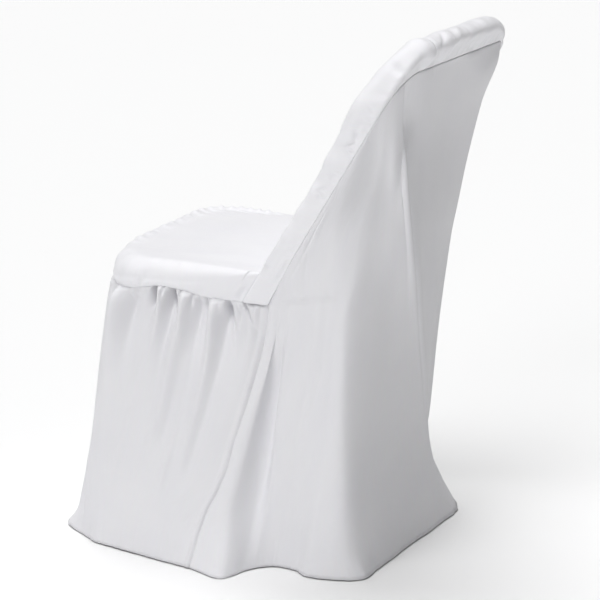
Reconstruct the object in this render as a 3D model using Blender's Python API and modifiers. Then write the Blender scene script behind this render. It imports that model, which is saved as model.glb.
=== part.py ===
"""Fitted cloth cover of a folding chair: seat panel, gathered skirt, inside back and back panel.

Lengths are metres. The tables and functions measure from the floor under the chair's middle: +X is the
sitter's left, +Y is the rear and +Z is up. The finished cover is then placed so that the point under its
top, where the chair's back carries it, is the origin.
"""
from math import atan, cos, exp, pi, sin, tan

import bmesh
import bpy
from mathutils import Vector

# Cloth and seams
CLOTH = 0.0015
SEAM_GAP = 0.0003
CREASE_GAP = 0.0011
SIDE_SEAM_TURN = 0.62
REAR_SEAM_TURN = 0.90

# Seat
SEAT_TOP = 0.466
SEAT_HALF_WIDTH = 0.199
SEAT_FRONT = -0.200
SEAT_NEAR_RADIUS = 0.084
SEAT_FAR_RADIUS = 0.058
SEAT_BAND_BULGE = 0.002
JUNCTION = Vector((0.200, 0.104, 0.419))

# Backrest slab inside the cover, which leans to the rear
LEAN = atan(0.61)
SLAB = 0.038
SEAM_HALF_WIDTH = 0.221
SEAM_TOP = 0.427
SEAM_NEAR_RADIUS = 0.064
SEAM_FAR_RADIUS = 0.040
TOP_DROP = 0.041
CREASE_HALF_WIDTH = 0.198
FOOT_TAPER = 0.14

# Grid sizes
SEAT_COLUMNS = 60
SKIRT_COLUMNS = 96
SKIRT_ROWS = 10
INSIDE_COLUMNS = 84
BACK_COLUMNS = 76
BACK_ROWS = 15
FRONT_ROWS = 4
BAND_ROWS = 5
TOP_ROWS = 3

# Height of the gathered seam round the seat, which rides up where the gathers pull, most on the far side:
# distance along the seam from the near junction, height
SEAT_SEAM_HEIGHTS = (
    (0.000, 0.4190),
    (0.060, 0.4180),
    (0.110, 0.4190),
    (0.150, 0.4255),
    (0.190, 0.4280),
    (0.225, 0.4225),
    (0.260, 0.4180),
    (0.320, 0.4225),
    (0.400, 0.4300),
    (0.480, 0.4360),
    (0.560, 0.4430),
    (0.640, 0.4490),
    (0.720, 0.4520),
    (0.790, 0.4490),
    (0.840, 0.4370),
    (0.884, 0.4190),
    (0.940, 0.4190),
)

# Edge of the seat top: distance along the gathered seam, radius of the rounding, rise of the puckered rim
SEAT_EDGES = (
    (0.000, 0.010, 0.0000),
    (0.150, 0.013, 0.0000),
    (0.240, 0.018, 0.0000),
    (0.300, 0.036, 0.0000),
    (0.345, 0.026, 0.0000),
    (0.400, 0.013, 0.0025),
    (0.500, 0.011, 0.0040),
    (0.620, 0.010, 0.0040),
    (0.740, 0.009, 0.0030),
    (0.800, 0.009, 0.0000),
    (0.840, 0.009, 0.0000),
    (0.940, 0.009, 0.0000),
)

# Wrap of the inside back over the slab's edge: distance along the rear seam, drop of the seam below the
# edge, radius at the rear, radius at the front, thickness of the slab under the cloth
WRAP = (
    (0.000, 0.003, 0.0025, 0.012, 0.038),
    (0.150, 0.003, 0.0025, 0.012, 0.036),
    (0.250, 0.003, 0.0025, 0.012, 0.036),
    (0.310, 0.003, 0.0025, 0.011, 0.040),
    (0.362, 0.004, 0.0035, 0.011, 0.046),
    (0.410, 0.012, 0.0110, 0.015, 0.046),
    (0.464, 0.034, 0.0188, 0.018, 0.040),
    (0.520, 0.041, 0.0188, 0.018, 0.038),
    (0.730, 0.041, 0.0188, 0.018, 0.038),
    (0.775, 0.034, 0.0188, 0.018, 0.038),
    (0.815, 0.020, 0.0160, 0.016, 0.038),
    (0.850, 0.012, 0.0090, 0.013, 0.038),
    (0.900, 0.006, 0.0040, 0.012, 0.038),
    (0.960, 0.003, 0.0025, 0.012, 0.038),
    (1.260, 0.003, 0.0025, 0.012, 0.038),
)

# Lines down the two side seams, from the four-panel junction to the hem: height, x, y
NEAR_SIDE_SEAM = (
    (0.363, 0.201, 0.097),
    (0.315, 0.204, 0.086),
    (0.253, 0.211, 0.069),
    (0.197, 0.218, 0.052),
    (0.153, 0.224, 0.042),
    (0.118, 0.230, 0.029),
    (0.090, 0.236, 0.016),
    (0.049, 0.247, 0.004),
    (0.000, 0.267, -0.003),
)
FAR_SIDE_SEAM = (
    (0.363, -0.201, 0.096),
    (0.253, -0.210, 0.066),
    (0.150, -0.224, 0.040),
    (0.060, -0.243, 0.008),
    (0.000, -0.262, -0.006),
)

# Lines that the back panel hangs in: place across in per cent, distance along the rear seam,
# then height, x, y for each place down the line
BACK_LINES = (
    (0, 0.000, NEAR_SIDE_SEAM),
    (4, 0.028, (
        (0.363, 0.203, 0.112), (0.253, 0.209, 0.086), (0.153, 0.222, 0.066), (0.090, 0.238, 0.055),
        (0.049, 0.256, 0.057), (0.000, 0.286, 0.062),
    )),
    (8, 0.065, (
        (0.419, 0.207, 0.133), (0.363, 0.203, 0.120), (0.253, 0.199, 0.106), (0.153, 0.200, 0.098),
        (0.090, 0.206, 0.093), (0.000, 0.228, 0.089),
    )),
    (12, 0.120, (
        (0.419, 0.210, 0.158), (0.253, 0.207, 0.135), (0.153, 0.205, 0.126), (0.090, 0.204, 0.120),
        (0.000, 0.205, 0.114),
    )),
    (17, 0.200, (
        (0.500, 0.216, 0.180), (0.419, 0.213, 0.188), (0.253, 0.213, 0.172), (0.153, 0.212, 0.163),
        (0.000, 0.207, 0.150),
    )),
    (22, 0.280, (
        (0.560, 0.206, 0.220), (0.419, 0.211, 0.213), (0.253, 0.213, 0.205), (0.000, 0.223, 0.185),
    )),
    (27, 0.345, (
        (0.618, 0.179, 0.259), (0.525, 0.190, 0.244), (0.470, 0.198, 0.241), (0.442, 0.203, 0.238),
        (0.400, 0.206, 0.234), (0.150, 0.206, 0.234), (0.040, 0.205, 0.241), (0.000, 0.202, 0.257),
    )),
    (32, 0.380, (
        (0.618, 0.162, 0.273), (0.525, 0.164, 0.264), (0.450, 0.165, 0.258), (0.290, 0.158, 0.251),
        (0.150, 0.152, 0.248), (0.000, 0.145, 0.264),
    )),
    (38, 0.405, (
        (0.618, 0.148, 0.284), (0.525, 0.140, 0.280), (0.450, 0.126, 0.275), (0.290, 0.094, 0.259),
        (0.150, 0.067, 0.252), (0.000, 0.048, 0.269),
    )),
    (44, 0.422, (
        (0.655, 0.142, 0.292), (0.560, 0.128, 0.291), (0.450, 0.100, 0.287), (0.290, 0.034, 0.264),
        (0.150, -0.010, 0.255), (0.000, -0.042, 0.277),
    )),
    (48, 0.437, (
        (0.706, 0.140, 0.299), (0.655, 0.133, 0.300), (0.600, 0.126, 0.301), (0.520, 0.105, 0.300),
        (0.450, 0.078, 0.296), (0.290, -0.020, 0.268), (0.150, -0.079, 0.256), (0.060, -0.106, 0.264),
        (0.000, -0.122, 0.282),
    )),
    (52, 0.500, (
        (0.655, 0.078, 0.294), (0.520, 0.045, 0.288), (0.450, 0.020, 0.281), (0.290, -0.060, 0.256),
        (0.150, -0.105, 0.244), (0.060, -0.126, 0.258), (0.000, -0.139, 0.282),
    )),
    (57, 0.570, (
        (0.655, 0.012, 0.290), (0.520, -0.020, 0.279), (0.450, -0.042, 0.269), (0.290, -0.100, 0.247),
        (0.150, -0.133, 0.233), (0.100, -0.143, 0.231), (0.040, -0.150, 0.256), (0.000, -0.153, 0.281),
    )),
    (62, 0.680, (
        (0.655, -0.078, 0.289), (0.520, -0.100, 0.272), (0.450, -0.112, 0.259), (0.290, -0.143, 0.238),
        (0.150, -0.162, 0.223), (0.100, -0.168, 0.220), (0.040, -0.167, 0.250), (0.000, -0.166, 0.276),
    )),
    (67, 0.780, (
        (0.742, -0.162, 0.323), (0.684, -0.162, 0.301), (0.600, -0.165, 0.279), (0.520, -0.168, 0.263),
        (0.450, -0.170, 0.248), (0.290, -0.180, 0.227), (0.150, -0.188, 0.214), (0.100, -0.189, 0.211),
        (0.040, -0.183, 0.242), (0.000, -0.176, 0.271),
    )),
    (72, 0.840, (
        (0.742, -0.198, 0.318), (0.684, -0.193, 0.294), (0.600, -0.195, 0.271), (0.520, -0.196, 0.254),
        (0.450, -0.197, 0.241), (0.290, -0.201, 0.222), (0.150, -0.204, 0.207), (0.100, -0.205, 0.203),
        (0.040, -0.203, 0.228), (0.000, -0.198, 0.256),
    )),
    (77, 0.900, (
        (0.600, -0.214, 0.236), (0.450, -0.212, 0.212), (0.290, -0.212, 0.198), (0.150, -0.212, 0.187),
        (0.000, -0.214, 0.220),
    )),
    (82, 0.985, (
        (0.520, -0.214, 0.200), (0.419, -0.211, 0.185), (0.290, -0.212, 0.170), (0.150, -0.209, 0.158),
        (0.000, -0.207, 0.178),
    )),
    (87, 1.075, (
        (0.419, -0.211, 0.155), (0.290, -0.206, 0.140), (0.150, -0.204, 0.128), (0.000, -0.212, 0.132),
    )),
    (92, 1.160, (
        (0.419, -0.208, 0.130), (0.290, -0.203, 0.114), (0.150, -0.214, 0.098), (0.000, -0.248, 0.090),
    )),
    (96, 1.210, (
        (0.363, -0.203, 0.110), (0.253, -0.210, 0.084), (0.150, -0.227, 0.062), (0.000, -0.278, 0.050),
    )),
    (100, 1.2515, FAR_SIDE_SEAM),
)

# Lines that the skirt hangs in: place across in per cent, distance along the seat seam,
# then height, x, y for each place down the line
SKIRT_LINES = (
    (0, 0.000, NEAR_SIDE_SEAM),
    (6, 0.060, (
        (0.391, 0.205, 0.040), (0.330, 0.208, 0.030), (0.253, 0.215, 0.010), (0.153, 0.227, -0.020),
        (0.060, 0.244, -0.045), (0.000, 0.258, -0.055),
    )),
    (14, 0.140, (
        (0.391, 0.206, -0.040), (0.330, 0.210, -0.050), (0.253, 0.214, -0.062), (0.153, 0.222, -0.085),
        (0.060, 0.235, -0.108), (0.000, 0.244, -0.120),
    )),
    (21, 0.210, (
        (0.391, 0.205, -0.112), (0.330, 0.209, -0.122), (0.253, 0.212, -0.135), (0.153, 0.217, -0.155),
        (0.060, 0.225, -0.172), (0.000, 0.232, -0.180),
    )),
    (27, 0.265, (
        (0.391, 0.197, -0.167), (0.330, 0.200, -0.180), (0.253, 0.203, -0.190), (0.153, 0.206, -0.205),
        (0.060, 0.211, -0.215), (0.000, 0.213, -0.222),
    )),
    (33, 0.314, (
        (0.391, 0.160, -0.200), (0.347, 0.162, -0.208), (0.305, 0.163, -0.214), (0.226, 0.164, -0.223),
        (0.166, 0.164, -0.231), (0.113, 0.165, -0.241), (0.065, 0.166, -0.250), (0.025, 0.167, -0.260),
        (0.000, 0.166, -0.278),
    )),
    (42, 0.390, (
        (0.391, 0.082, -0.212), (0.347, 0.083, -0.221), (0.253, 0.086, -0.232), (0.153, 0.088, -0.242),
        (0.060, 0.090, -0.254), (0.000, 0.092, -0.264),
    )),
    (50, 0.470, (
        (0.391, 0.000, -0.210), (0.347, 0.000, -0.218), (0.253, 0.000, -0.228), (0.153, 0.002, -0.238),
        (0.060, 0.004, -0.250), (0.000, 0.004, -0.256),
    )),
    (58, 0.550, (
        (0.391, -0.082, -0.211), (0.347, -0.083, -0.222), (0.253, -0.085, -0.234), (0.153, -0.088, -0.246),
        (0.060, -0.090, -0.258), (0.000, -0.094, -0.268),
    )),
    (67, 0.626, (
        (0.391, -0.160, -0.203), (0.347, -0.163, -0.211), (0.253, -0.166, -0.224), (0.153, -0.170, -0.238),
        (0.060, -0.174, -0.254), (0.000, -0.180, -0.266),
    )),
    (73, 0.675, (
        (0.391, -0.197, -0.167), (0.330, -0.201, -0.180), (0.253, -0.204, -0.192), (0.153, -0.209, -0.206),
        (0.060, -0.217, -0.220), (0.000, -0.226, -0.228),
    )),
    (79, 0.730, (
        (0.391, -0.205, -0.112), (0.330, -0.209, -0.122), (0.253, -0.213, -0.135), (0.153, -0.220, -0.153),
        (0.060, -0.231, -0.168), (0.000, -0.239, -0.176),
    )),
    (86, 0.800, (
        (0.391, -0.206, -0.042), (0.330, -0.209, -0.052), (0.253, -0.214, -0.064), (0.153, -0.223, -0.086),
        (0.060, -0.238, -0.106), (0.000, -0.250, -0.112),
    )),
    (94, 0.880, (
        (0.391, -0.205, 0.040), (0.330, -0.208, 0.028), (0.253, -0.214, 0.010), (0.153, -0.225, -0.018),
        (0.060, -0.241, -0.044), (0.000, -0.258, -0.056),
    )),
    (100, 0.940, FAR_SIDE_SEAM),
)

# Gathers of the skirt: distance along the seam, depth (inward is negative), half width,
# reach as a share of the drop
SKIRT_FOLDS = (
    (0.022, 0.0041, 0.009, 0.30),
    (0.044, -0.0061, 0.007, 0.18),
    (0.066, -0.0081, 0.008, 0.26),
    (0.090, 0.0047, 0.011, 0.45),
    (0.116, -0.0101, 0.010, 0.34),
    (0.142, 0.0047, 0.009, 0.55),
    (0.167, -0.0115, 0.008, 0.24),
    (0.183, 0.0041, 0.007, 0.30),
    (0.198, -0.0088, 0.007, 0.16),
    (0.231, -0.0081, 0.016, 0.38),
    (0.262, 0.0054, 0.010, 0.30),
    (0.284, -0.0074, 0.008, 0.20),
    (0.333, -0.0095, 0.009, 0.26),
    (0.361, -0.0068, 0.008, 0.18),
    (0.392, -0.0108, 0.011, 0.40),
    (0.421, 0.0047, 0.009, 0.35),
    (0.446, -0.0088, 0.008, 0.22),
    (0.487, -0.0108, 0.010, 0.32),
    (0.516, -0.0061, 0.007, 0.18),
    (0.547, -0.0101, 0.011, 0.42),
    (0.580, 0.0047, 0.010, 0.38),
    (0.604, -0.0088, 0.008, 0.24),
    (0.648, -0.0095, 0.009, 0.26),
    (0.676, -0.0068, 0.008, 0.20),
    (0.711, -0.0108, 0.011, 0.36),
    (0.741, 0.0047, 0.009, 0.40),
    (0.764, -0.0081, 0.008, 0.22),
    (0.803, -0.0108, 0.010, 0.34),
    (0.835, -0.0068, 0.008, 0.18),
    (0.862, 0.0047, 0.009, 0.45),
    (0.889, -0.0095, 0.009, 0.28),
    (0.918, -0.0061, 0.008, 0.20),
)

# Puckers of the inside back along the rear seam: distance along it, height (inward is negative), half width,
# how far they run in from the seam
BACK_PUCKERS = (
    (0.240, -0.0030, 0.014, 0.045),
    (0.272, 0.0025, 0.014, 0.045),
    (0.325, -0.0030, 0.014, 0.045),
    (0.366, 0.0030, 0.015, 0.050),
    (0.408, -0.0030, 0.013, 0.050),
    (0.446, -0.0040, 0.013, 0.055),
    (0.476, 0.0070, 0.013, 0.070),
    (0.507, -0.0035, 0.013, 0.060),
    (0.545, 0.0040, 0.015, 0.065),
    (0.585, -0.0030, 0.015, 0.060),
    (0.660, -0.0030, 0.015, 0.060),
    (0.700, 0.0025, 0.015, 0.060),
    (0.760, -0.0035, 0.015, 0.060),
    (0.905, -0.0030, 0.015, 0.045),
    (0.990, -0.0030, 0.015, 0.045),
)

GATHER_ONSET = 0.03
PUCKER_ONSET = 0.012
ROW_CROWDING = 0.55
END_TAPER = 0.09
MOST_ROUNDING = 0.8
RIM_WIDTH = 0.012
CORNER_STEPS = 4
SHORT_COLUMN = 0.02
SHORT_COLUMN_SHARE = 0.6


def read_table(rows, at):
    """Values at a key, on a smooth curve through the rows of a table whose first column is the key."""
    order = 1 if rows[-1][0] > rows[0][0] else -1
    at = order * min(max(order * at, order * rows[0][0]), order * rows[-1][0])
    i = 0
    while i < len(rows) - 2 and order * rows[i + 1][0] < order * at:
        i += 1
    span = rows[i + 1][0] - rows[i][0]
    t = (at - rows[i][0]) / span

    def slope(k):
        before = rows[max(k - 1, 0)]
        after = rows[min(k + 1, len(rows) - 1)]
        return [(b - a) / (after[0] - before[0]) * span for a, b in zip(before[1:], after[1:])]

    weights = (2 * t**3 - 3 * t**2 + 1, t**3 - 2 * t**2 + t, 3 * t**2 - 2 * t**3, t**3 - t**2)
    parts = zip(rows[i][1:], slope(i), rows[i + 1][1:], slope(i + 1))
    return [sum(w * v for w, v in zip(weights, values)) for values in parts]


def walk(points, distance):
    """Point at a distance along a run of points."""
    for a, b in zip(points, points[1:]):
        step = (b - a).length
        if distance <= step and step > 0:
            return a.lerp(b, distance / step)
        distance -= step
    return points[-1].copy()


def length_of(points):
    return sum((b - a).length for a, b in zip(points, points[1:]))


def round_corner(run, straight, radius, half_width):
    """Walks up a straight side, round a corner and in to the middle: across, along, and the turn so far."""
    turn = min(max(run - straight, 0) / radius, pi / 2)
    across = half_width - radius + radius * cos(turn) - max(run - straight - radius * pi / 2, 0)
    along = min(run, straight) + radius * sin(turn)
    return across, along, turn


def half_length(straight, radius, half_width):
    return straight + radius * pi / 2 + half_width - radius


def two_sided(distance, depth, half_width, near_radius, far_radius):
    """Walks a U from its near end, whose two corners differ: across, along, and the outward direction."""
    near = half_length(depth - near_radius, near_radius, half_width)
    far = half_length(depth - far_radius, far_radius, half_width)
    if distance <= near:
        across, along, turn = round_corner(distance, depth - near_radius, near_radius, half_width)
        return across, along, Vector((cos(turn), sin(turn)))
    across, along, turn = round_corner(near + far - distance, depth - far_radius, far_radius, half_width)
    return -across, along, Vector((-cos(turn), sin(turn)))


def two_sided_length(depth, half_width, near_radius, far_radius):
    near = half_length(depth - near_radius, near_radius, half_width)
    return near + half_length(depth - far_radius, far_radius, half_width)


SEAT_SHAPE = (JUNCTION.y - SEAT_FRONT, SEAT_HALF_WIDTH, SEAT_NEAR_RADIUS, SEAT_FAR_RADIUS)
SEAT_SEAM_LENGTH = two_sided_length(*SEAT_SHAPE)
REAR_SHAPE = (SEAM_TOP, SEAM_HALF_WIDTH, SEAM_NEAR_RADIUS, SEAM_FAR_RADIUS)
REAR_SEAM_LENGTH = two_sided_length(*REAR_SHAPE)
REAR_FOOT = JUNCTION.y
FRONT_SHIFT = SLAB / cos(LEAN)
CREASE_Y = REAR_FOOT + (SEAT_TOP - JUNCTION.z) * tan(LEAN) - FRONT_SHIFT


def seat_seam(distance):
    """Point on the gathered seam round the seat, and the direction that faces out there."""
    across, along, out = two_sided(distance, *SEAT_SHAPE)
    height = read_table(SEAT_SEAM_HEIGHTS, distance)[0]
    return Vector((across, JUNCTION.y - along, height)), Vector((out.x, -out.y, 0))


def slab_point(x, up):
    """Point on the rear face of the backrest slab, up along its lean from the junction's height."""
    return Vector((x, REAR_FOOT + up * sin(LEAN), JUNCTION.z + up * cos(LEAN)))


def rear_seam(distance):
    """Place on the rear seam in the plane of the slab's rear face, and its outward direction."""
    across, up, out = two_sided(distance, *REAR_SHAPE)
    end = min(distance, REAR_SEAM_LENGTH - distance)
    taper = (SEAM_HALF_WIDTH - JUNCTION.x) * max(0.0, 1 - end / FOOT_TAPER) ** 2
    return Vector((across - taper * (1 if across > 0 else -1), up)), out


def rear_seam_point(distance):
    place, _ = rear_seam(distance)
    return slab_point(place.x, place.y)


def drop_share(row, rows):
    """Share of the drop from seam to hem at a row: the rows crowd towards both ends."""
    return row / rows - ROW_CROWDING * sin(2 * pi * row / rows) / (2 * pi)


def hang(lines, seam_point, columns, rows):
    """Grid of points, row by row from the seam down, of a sheet that hangs in the given lines."""
    seams = [seam_point(distance) for _, distance, _ in lines]
    grid = []
    for row in range(rows + 1):
        t = drop_share(row, rows)
        leans = []
        for (across, distance, places), top in zip(lines, seams):
            x, y = read_table(((top.z, top.x, top.y),) + places, top.z * (1 - t))
            leans.append((across, distance, x - top.x, y - top.y))
        points = []
        for column in range(columns + 1):
            distance, x, y = read_table(leans, 100 * column / columns)
            top = seam_point(distance)
            points.append(Vector((top.x + x, top.y + y, top.z * (1 - t))))
        grid.append(points)
    return grid


def outward(row, index):
    """Direction that faces out of a row of points, level, where the row runs clockwise seen from above."""
    along = row[min(index + 1, len(row) - 1)] - row[max(index - 1, 0)]
    return Vector((-along.y, along.x, 0)).normalized()


def gather(grid, lines, folds):
    """Presses the gathers of a table into a hanging grid: sharp at the seam, fading down."""
    rows = len(grid) - 1
    columns = len(grid[0]) - 1
    stations = [(line[0], line[1]) for line in lines]
    for r in range(1, rows + 1):
        t = drop_share(r, rows)
        base = [point.copy() for point in grid[r]]
        for c in range(columns + 1):
            at = read_table(stations, 100 * c / columns)[0]
            push = sum(
                depth * exp(-(((at - place) / width) ** 2) - (t / reach) ** 2)
                for place, depth, width, reach in folds
            )
            grid[r][c] = base[c] + outward(base, c) * push * (1 - exp(-t / GATHER_ONSET))


def drawn_in(edge, inner, amount):
    """Edge points moved square to the edge, along the cloth, towards the line inside it."""
    moved = []
    for i, point in enumerate(edge):
        along = (edge[min(i + 1, len(edge) - 1)] - edge[max(i - 1, 0)]).normalized()
        inward = inner[i] - point
        inward -= along * inward.dot(along)
        moved.append(point + inward.normalized() * amount)
    return moved


def pucker(grid, length, puckers):
    """Raises the puckers of a table on a grid whose first row is the seam that they start from."""
    columns = len(grid[0]) - 1
    lifted = []
    for r in range(1, len(grid) - 1):
        for c in range(1, columns):
            inward = (grid[r][c] - grid[0][c]).length
            along = grid[r][c + 1] - grid[r][c - 1]
            down = grid[r + 1][c] - grid[r - 1][c]
            out = along.cross(down).normalized()
            lift = sum(
                height * exp(-(((length * c / columns - place) / width) ** 2) - (inward / run) ** 2)
                for place, height, width, run in puckers
            )
            lifted.append((r, c, out * lift * (1 - exp(-inward / PUCKER_ONSET))))
    for r, c, lift in lifted:
        grid[r][c] = grid[r][c] + lift


def trim(grid, first_row, last_row, first_column, last_column):
    """Draws the edges of a grid in along the cloth, so that it clears its neighbours at the seams."""
    if first_row:
        grid[0] = drawn_in(grid[0], grid[1], first_row)
    if last_row:
        grid[-1] = drawn_in(grid[-1], grid[-2], last_row)
    first = drawn_in([row[0] for row in grid], [row[1] for row in grid], first_column)
    last = drawn_in([row[-1] for row in grid], [row[-2] for row in grid], last_column)
    for row, start, end in zip(grid, first, last):
        row[0] = start
        row[-1] = end
    return grid


def skirt_grid():
    grid = hang(SKIRT_LINES, lambda distance: seat_seam(distance)[0], SKIRT_COLUMNS, SKIRT_ROWS)
    gather(grid, SKIRT_LINES, SKIRT_FOLDS)
    return trim(grid, SEAM_GAP, 0, SIDE_SEAM_TURN * CLOTH, SIDE_SEAM_TURN * CLOTH)


def back_grid():
    grid = hang(BACK_LINES, rear_seam_point, BACK_COLUMNS, BACK_ROWS)
    return trim(grid, REAR_SEAM_TURN * CLOTH, 0, SIDE_SEAM_TURN * CLOTH, SIDE_SEAM_TURN * CLOTH)[::-1]


def spread(column, first, first_rows, last_rows):
    """Points of a column: some rows over its first stretch and the rest over what is left."""
    total = length_of(column)
    if total - first < SHORT_COLUMN:
        first = min(first, SHORT_COLUMN_SHARE * total)
    steps = [first * r / first_rows for r in range(first_rows)]
    steps += [first + (total - first) * r / last_rows for r in range(last_rows + 1)]
    return [walk(column, step) for step in steps]


def seat_grid():
    """Columns run up the band from the gathered seam, round the edge and over the top to the crease."""
    start = FRONT_SHIFT
    run = SEAT_SEAM_LENGTH - 2 * start
    columns = []
    for c in range(SEAT_COLUMNS + 1):
        share = c / SEAT_COLUMNS
        distance = start + run * share
        seam, out = seat_seam(distance)
        radius, rise = read_table(SEAT_EDGES, distance)
        close = max(0.0, 1 - min(share, 1 - share) * run / END_TAPER)
        band = SEAT_TOP + rise - seam.z
        radius = min(radius, MOST_ROUNDING * band) * (1 - close) + SEAM_GAP
        wall = band - radius
        bulge = SEAT_BAND_BULGE * (1 - close)
        column = [seam, seam + out * bulge + Vector((0, 0, wall / 2)), seam + Vector((0, 0, wall))]
        shoulder = column[-1] - out * radius
        for step in range(1, CORNER_STEPS + 1):
            angle = step / CORNER_STEPS * pi / 2
            column.append(shoulder + out * radius * cos(angle) + Vector((0, 0, radius * sin(angle))))
        for point in column:
            point.y += close * (point.z - seam.z) / band * (CREASE_Y - seam.y)
        edge = length_of(column)
        end = Vector((CREASE_HALF_WIDTH * (1 - 2 * share), CREASE_Y, SEAT_TOP))
        if 0 < c < SEAT_COLUMNS:
            if rise > 0:
                column.append((column[-1] - out * RIM_WIDTH) * Vector((1, 1, 0)) + Vector((0, 0, SEAT_TOP)))
            column.append(end)
        else:
            column[-1] = end
        columns.append(spread(column, edge, BAND_ROWS, TOP_ROWS))
    grid = [list(row) for row in zip(*columns)]
    return trim(grid, SEAM_GAP, SEAM_GAP, CREASE_GAP, CREASE_GAP)[::-1]


def inside_column(distance):
    """Run of one column of the inside back from the rear seam round the edge of the slab to its front."""
    place, out = rear_seam(distance)
    drop, rear, front, slab = read_table(WRAP, distance)
    section = [(drop, 0.0)]
    for step in range(CORNER_STEPS + 1):
        angle = step / CORNER_STEPS * pi / 2
        section.append((rear - rear * sin(angle), rear - rear * cos(angle)))
    for step in range(CORNER_STEPS + 1):
        angle = step / CORNER_STEPS * pi / 2
        section.append((front - front * cos(angle), slab - front + front * sin(angle)))
    level = out.x**2
    square = Vector((0, -cos(LEAN), sin(LEAN)))
    forward = square.lerp(Vector((0, -1 / cos(LEAN), 0)), level)
    column = []
    for inward, depth in section:
        spot = place + out * (drop - inward)
        column.append(slab_point(spot.x, spot.y) + forward * depth)
    return column


def inside_grid():
    """Columns run from the rear seam round the slab's edge, then down the front of the backrest."""
    low = (SEAT_TOP - JUNCTION.z) / cos(LEAN)
    columns = []
    for c in range(INSIDE_COLUMNS + 1):
        distance = REAR_SEAM_LENGTH * c / INSIDE_COLUMNS
        column = inside_column(distance)
        seam = column[0]
        past_crease = min(distance, REAR_SEAM_LENGTH - distance) - low
        rise = min(1.0, (seam.z - JUNCTION.z) / (SEAT_TOP - JUNCTION.z))
        x = JUNCTION.x + (CREASE_HALF_WIDTH - JUNCTION.x) * rise
        edge = Vector((x if seam.x > 0 else -x, seam.y - FRONT_SHIFT, seam.z))
        pull = (edge - column[-1]) * (1 - min(max(past_crease / END_TAPER, 0), 1)) ** 2
        for step, point in enumerate(column):
            point += pull * (step / (len(column) - 1)) ** 2
        band = length_of(column)
        if past_crease > 0:
            share = (distance - low) / (REAR_SEAM_LENGTH - 2 * low)
            column.append(Vector((CREASE_HALF_WIDTH * (1 - 2 * share), CREASE_Y, SEAT_TOP)))
        columns.append(spread(column, band, BAND_ROWS, FRONT_ROWS))
    grid = [list(row) for row in zip(*columns)]
    pucker(grid, REAR_SEAM_LENGTH, BACK_PUCKERS)
    return trim(grid, SEAM_GAP, SEAM_GAP, SEAM_GAP, SEAM_GAP)


def sheet_mesh(name, grid):
    """Open mesh of quads on a grid of points, row by row."""
    mesh = bpy.data.meshes.new(name)
    shape = bmesh.new()
    rows = [[shape.verts.new(point) for point in row] for row in grid]
    for upper, lower in zip(rows, rows[1:]):
        for c in range(len(upper) - 1):
            shape.faces.new((upper[c], upper[c + 1], lower[c + 1], lower[c]))
    shape.to_mesh(mesh)
    shape.free()
    mesh.shade_smooth()
    return mesh


def cloth_material(name, colour, roughness):
    material = bpy.data.materials.new(name)
    material.use_nodes = True
    shader = material.node_tree.nodes["Principled BSDF"]
    shader.inputs["Base Color"].default_value = (*colour, 1)
    shader.inputs["Roughness"].default_value = roughness
    shader.inputs["Metallic"].default_value = 0.0
    material.diffuse_color = (*colour, 1)
    return material


def add_panel(name, grid, colour, roughness, collection, parent):
    panel = bpy.data.objects.new(name, sheet_mesh(name, grid))
    collection.objects.link(panel)
    panel.parent = parent
    panel.location = -HANG_POINT
    panel.data.materials.append(cloth_material(name + "_polyester", colour, roughness))
    thickness = panel.modifiers.new("cloth", "SOLIDIFY")
    thickness.thickness = CLOTH
    thickness.offset = -1
    thickness.use_quality_normals = True
    return panel


HANG_POINT = slab_point(0, SEAM_TOP + TOP_DROP - SLAB / 2) + Vector((0, -cos(LEAN), sin(LEAN))) * SLAB / 2
HANG_POINT.z += SLAB / 2 - CLOTH


def main():
    for old in list(bpy.data.objects):
        bpy.data.objects.remove(old)
    collection = bpy.data.collections.new("Chair cover")
    bpy.context.scene.collection.children.link(collection)
    chair_back_top = bpy.data.objects.new("chair_back_top", None)
    collection.objects.link(chair_back_top)
    panels = (
        ("seat_panel", seat_grid(), (0.86, 0.86, 0.87), 0.62),
        ("skirt", skirt_grid(), (0.84, 0.84, 0.86), 0.64),
        ("inside_back", inside_grid(), (0.86, 0.86, 0.86), 0.62),
        ("back_panel", back_grid(), (0.82, 0.82, 0.84), 0.64),
    )
    for name, grid, colour, roughness in panels:
        add_panel(name, grid, colour, roughness, collection, chair_back_top)


main()
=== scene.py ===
"""Looks of the fitted chair cover: four panels of white polyester on the folds of their solids.

Functions, and tables that don't say otherwise, measure in metres from the floor under the
chair's middle. The finished panels are then moved by HANG_POINT into the frame of the part.
"""
from math import atan, cos, pi, radians, sin, tan

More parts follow.
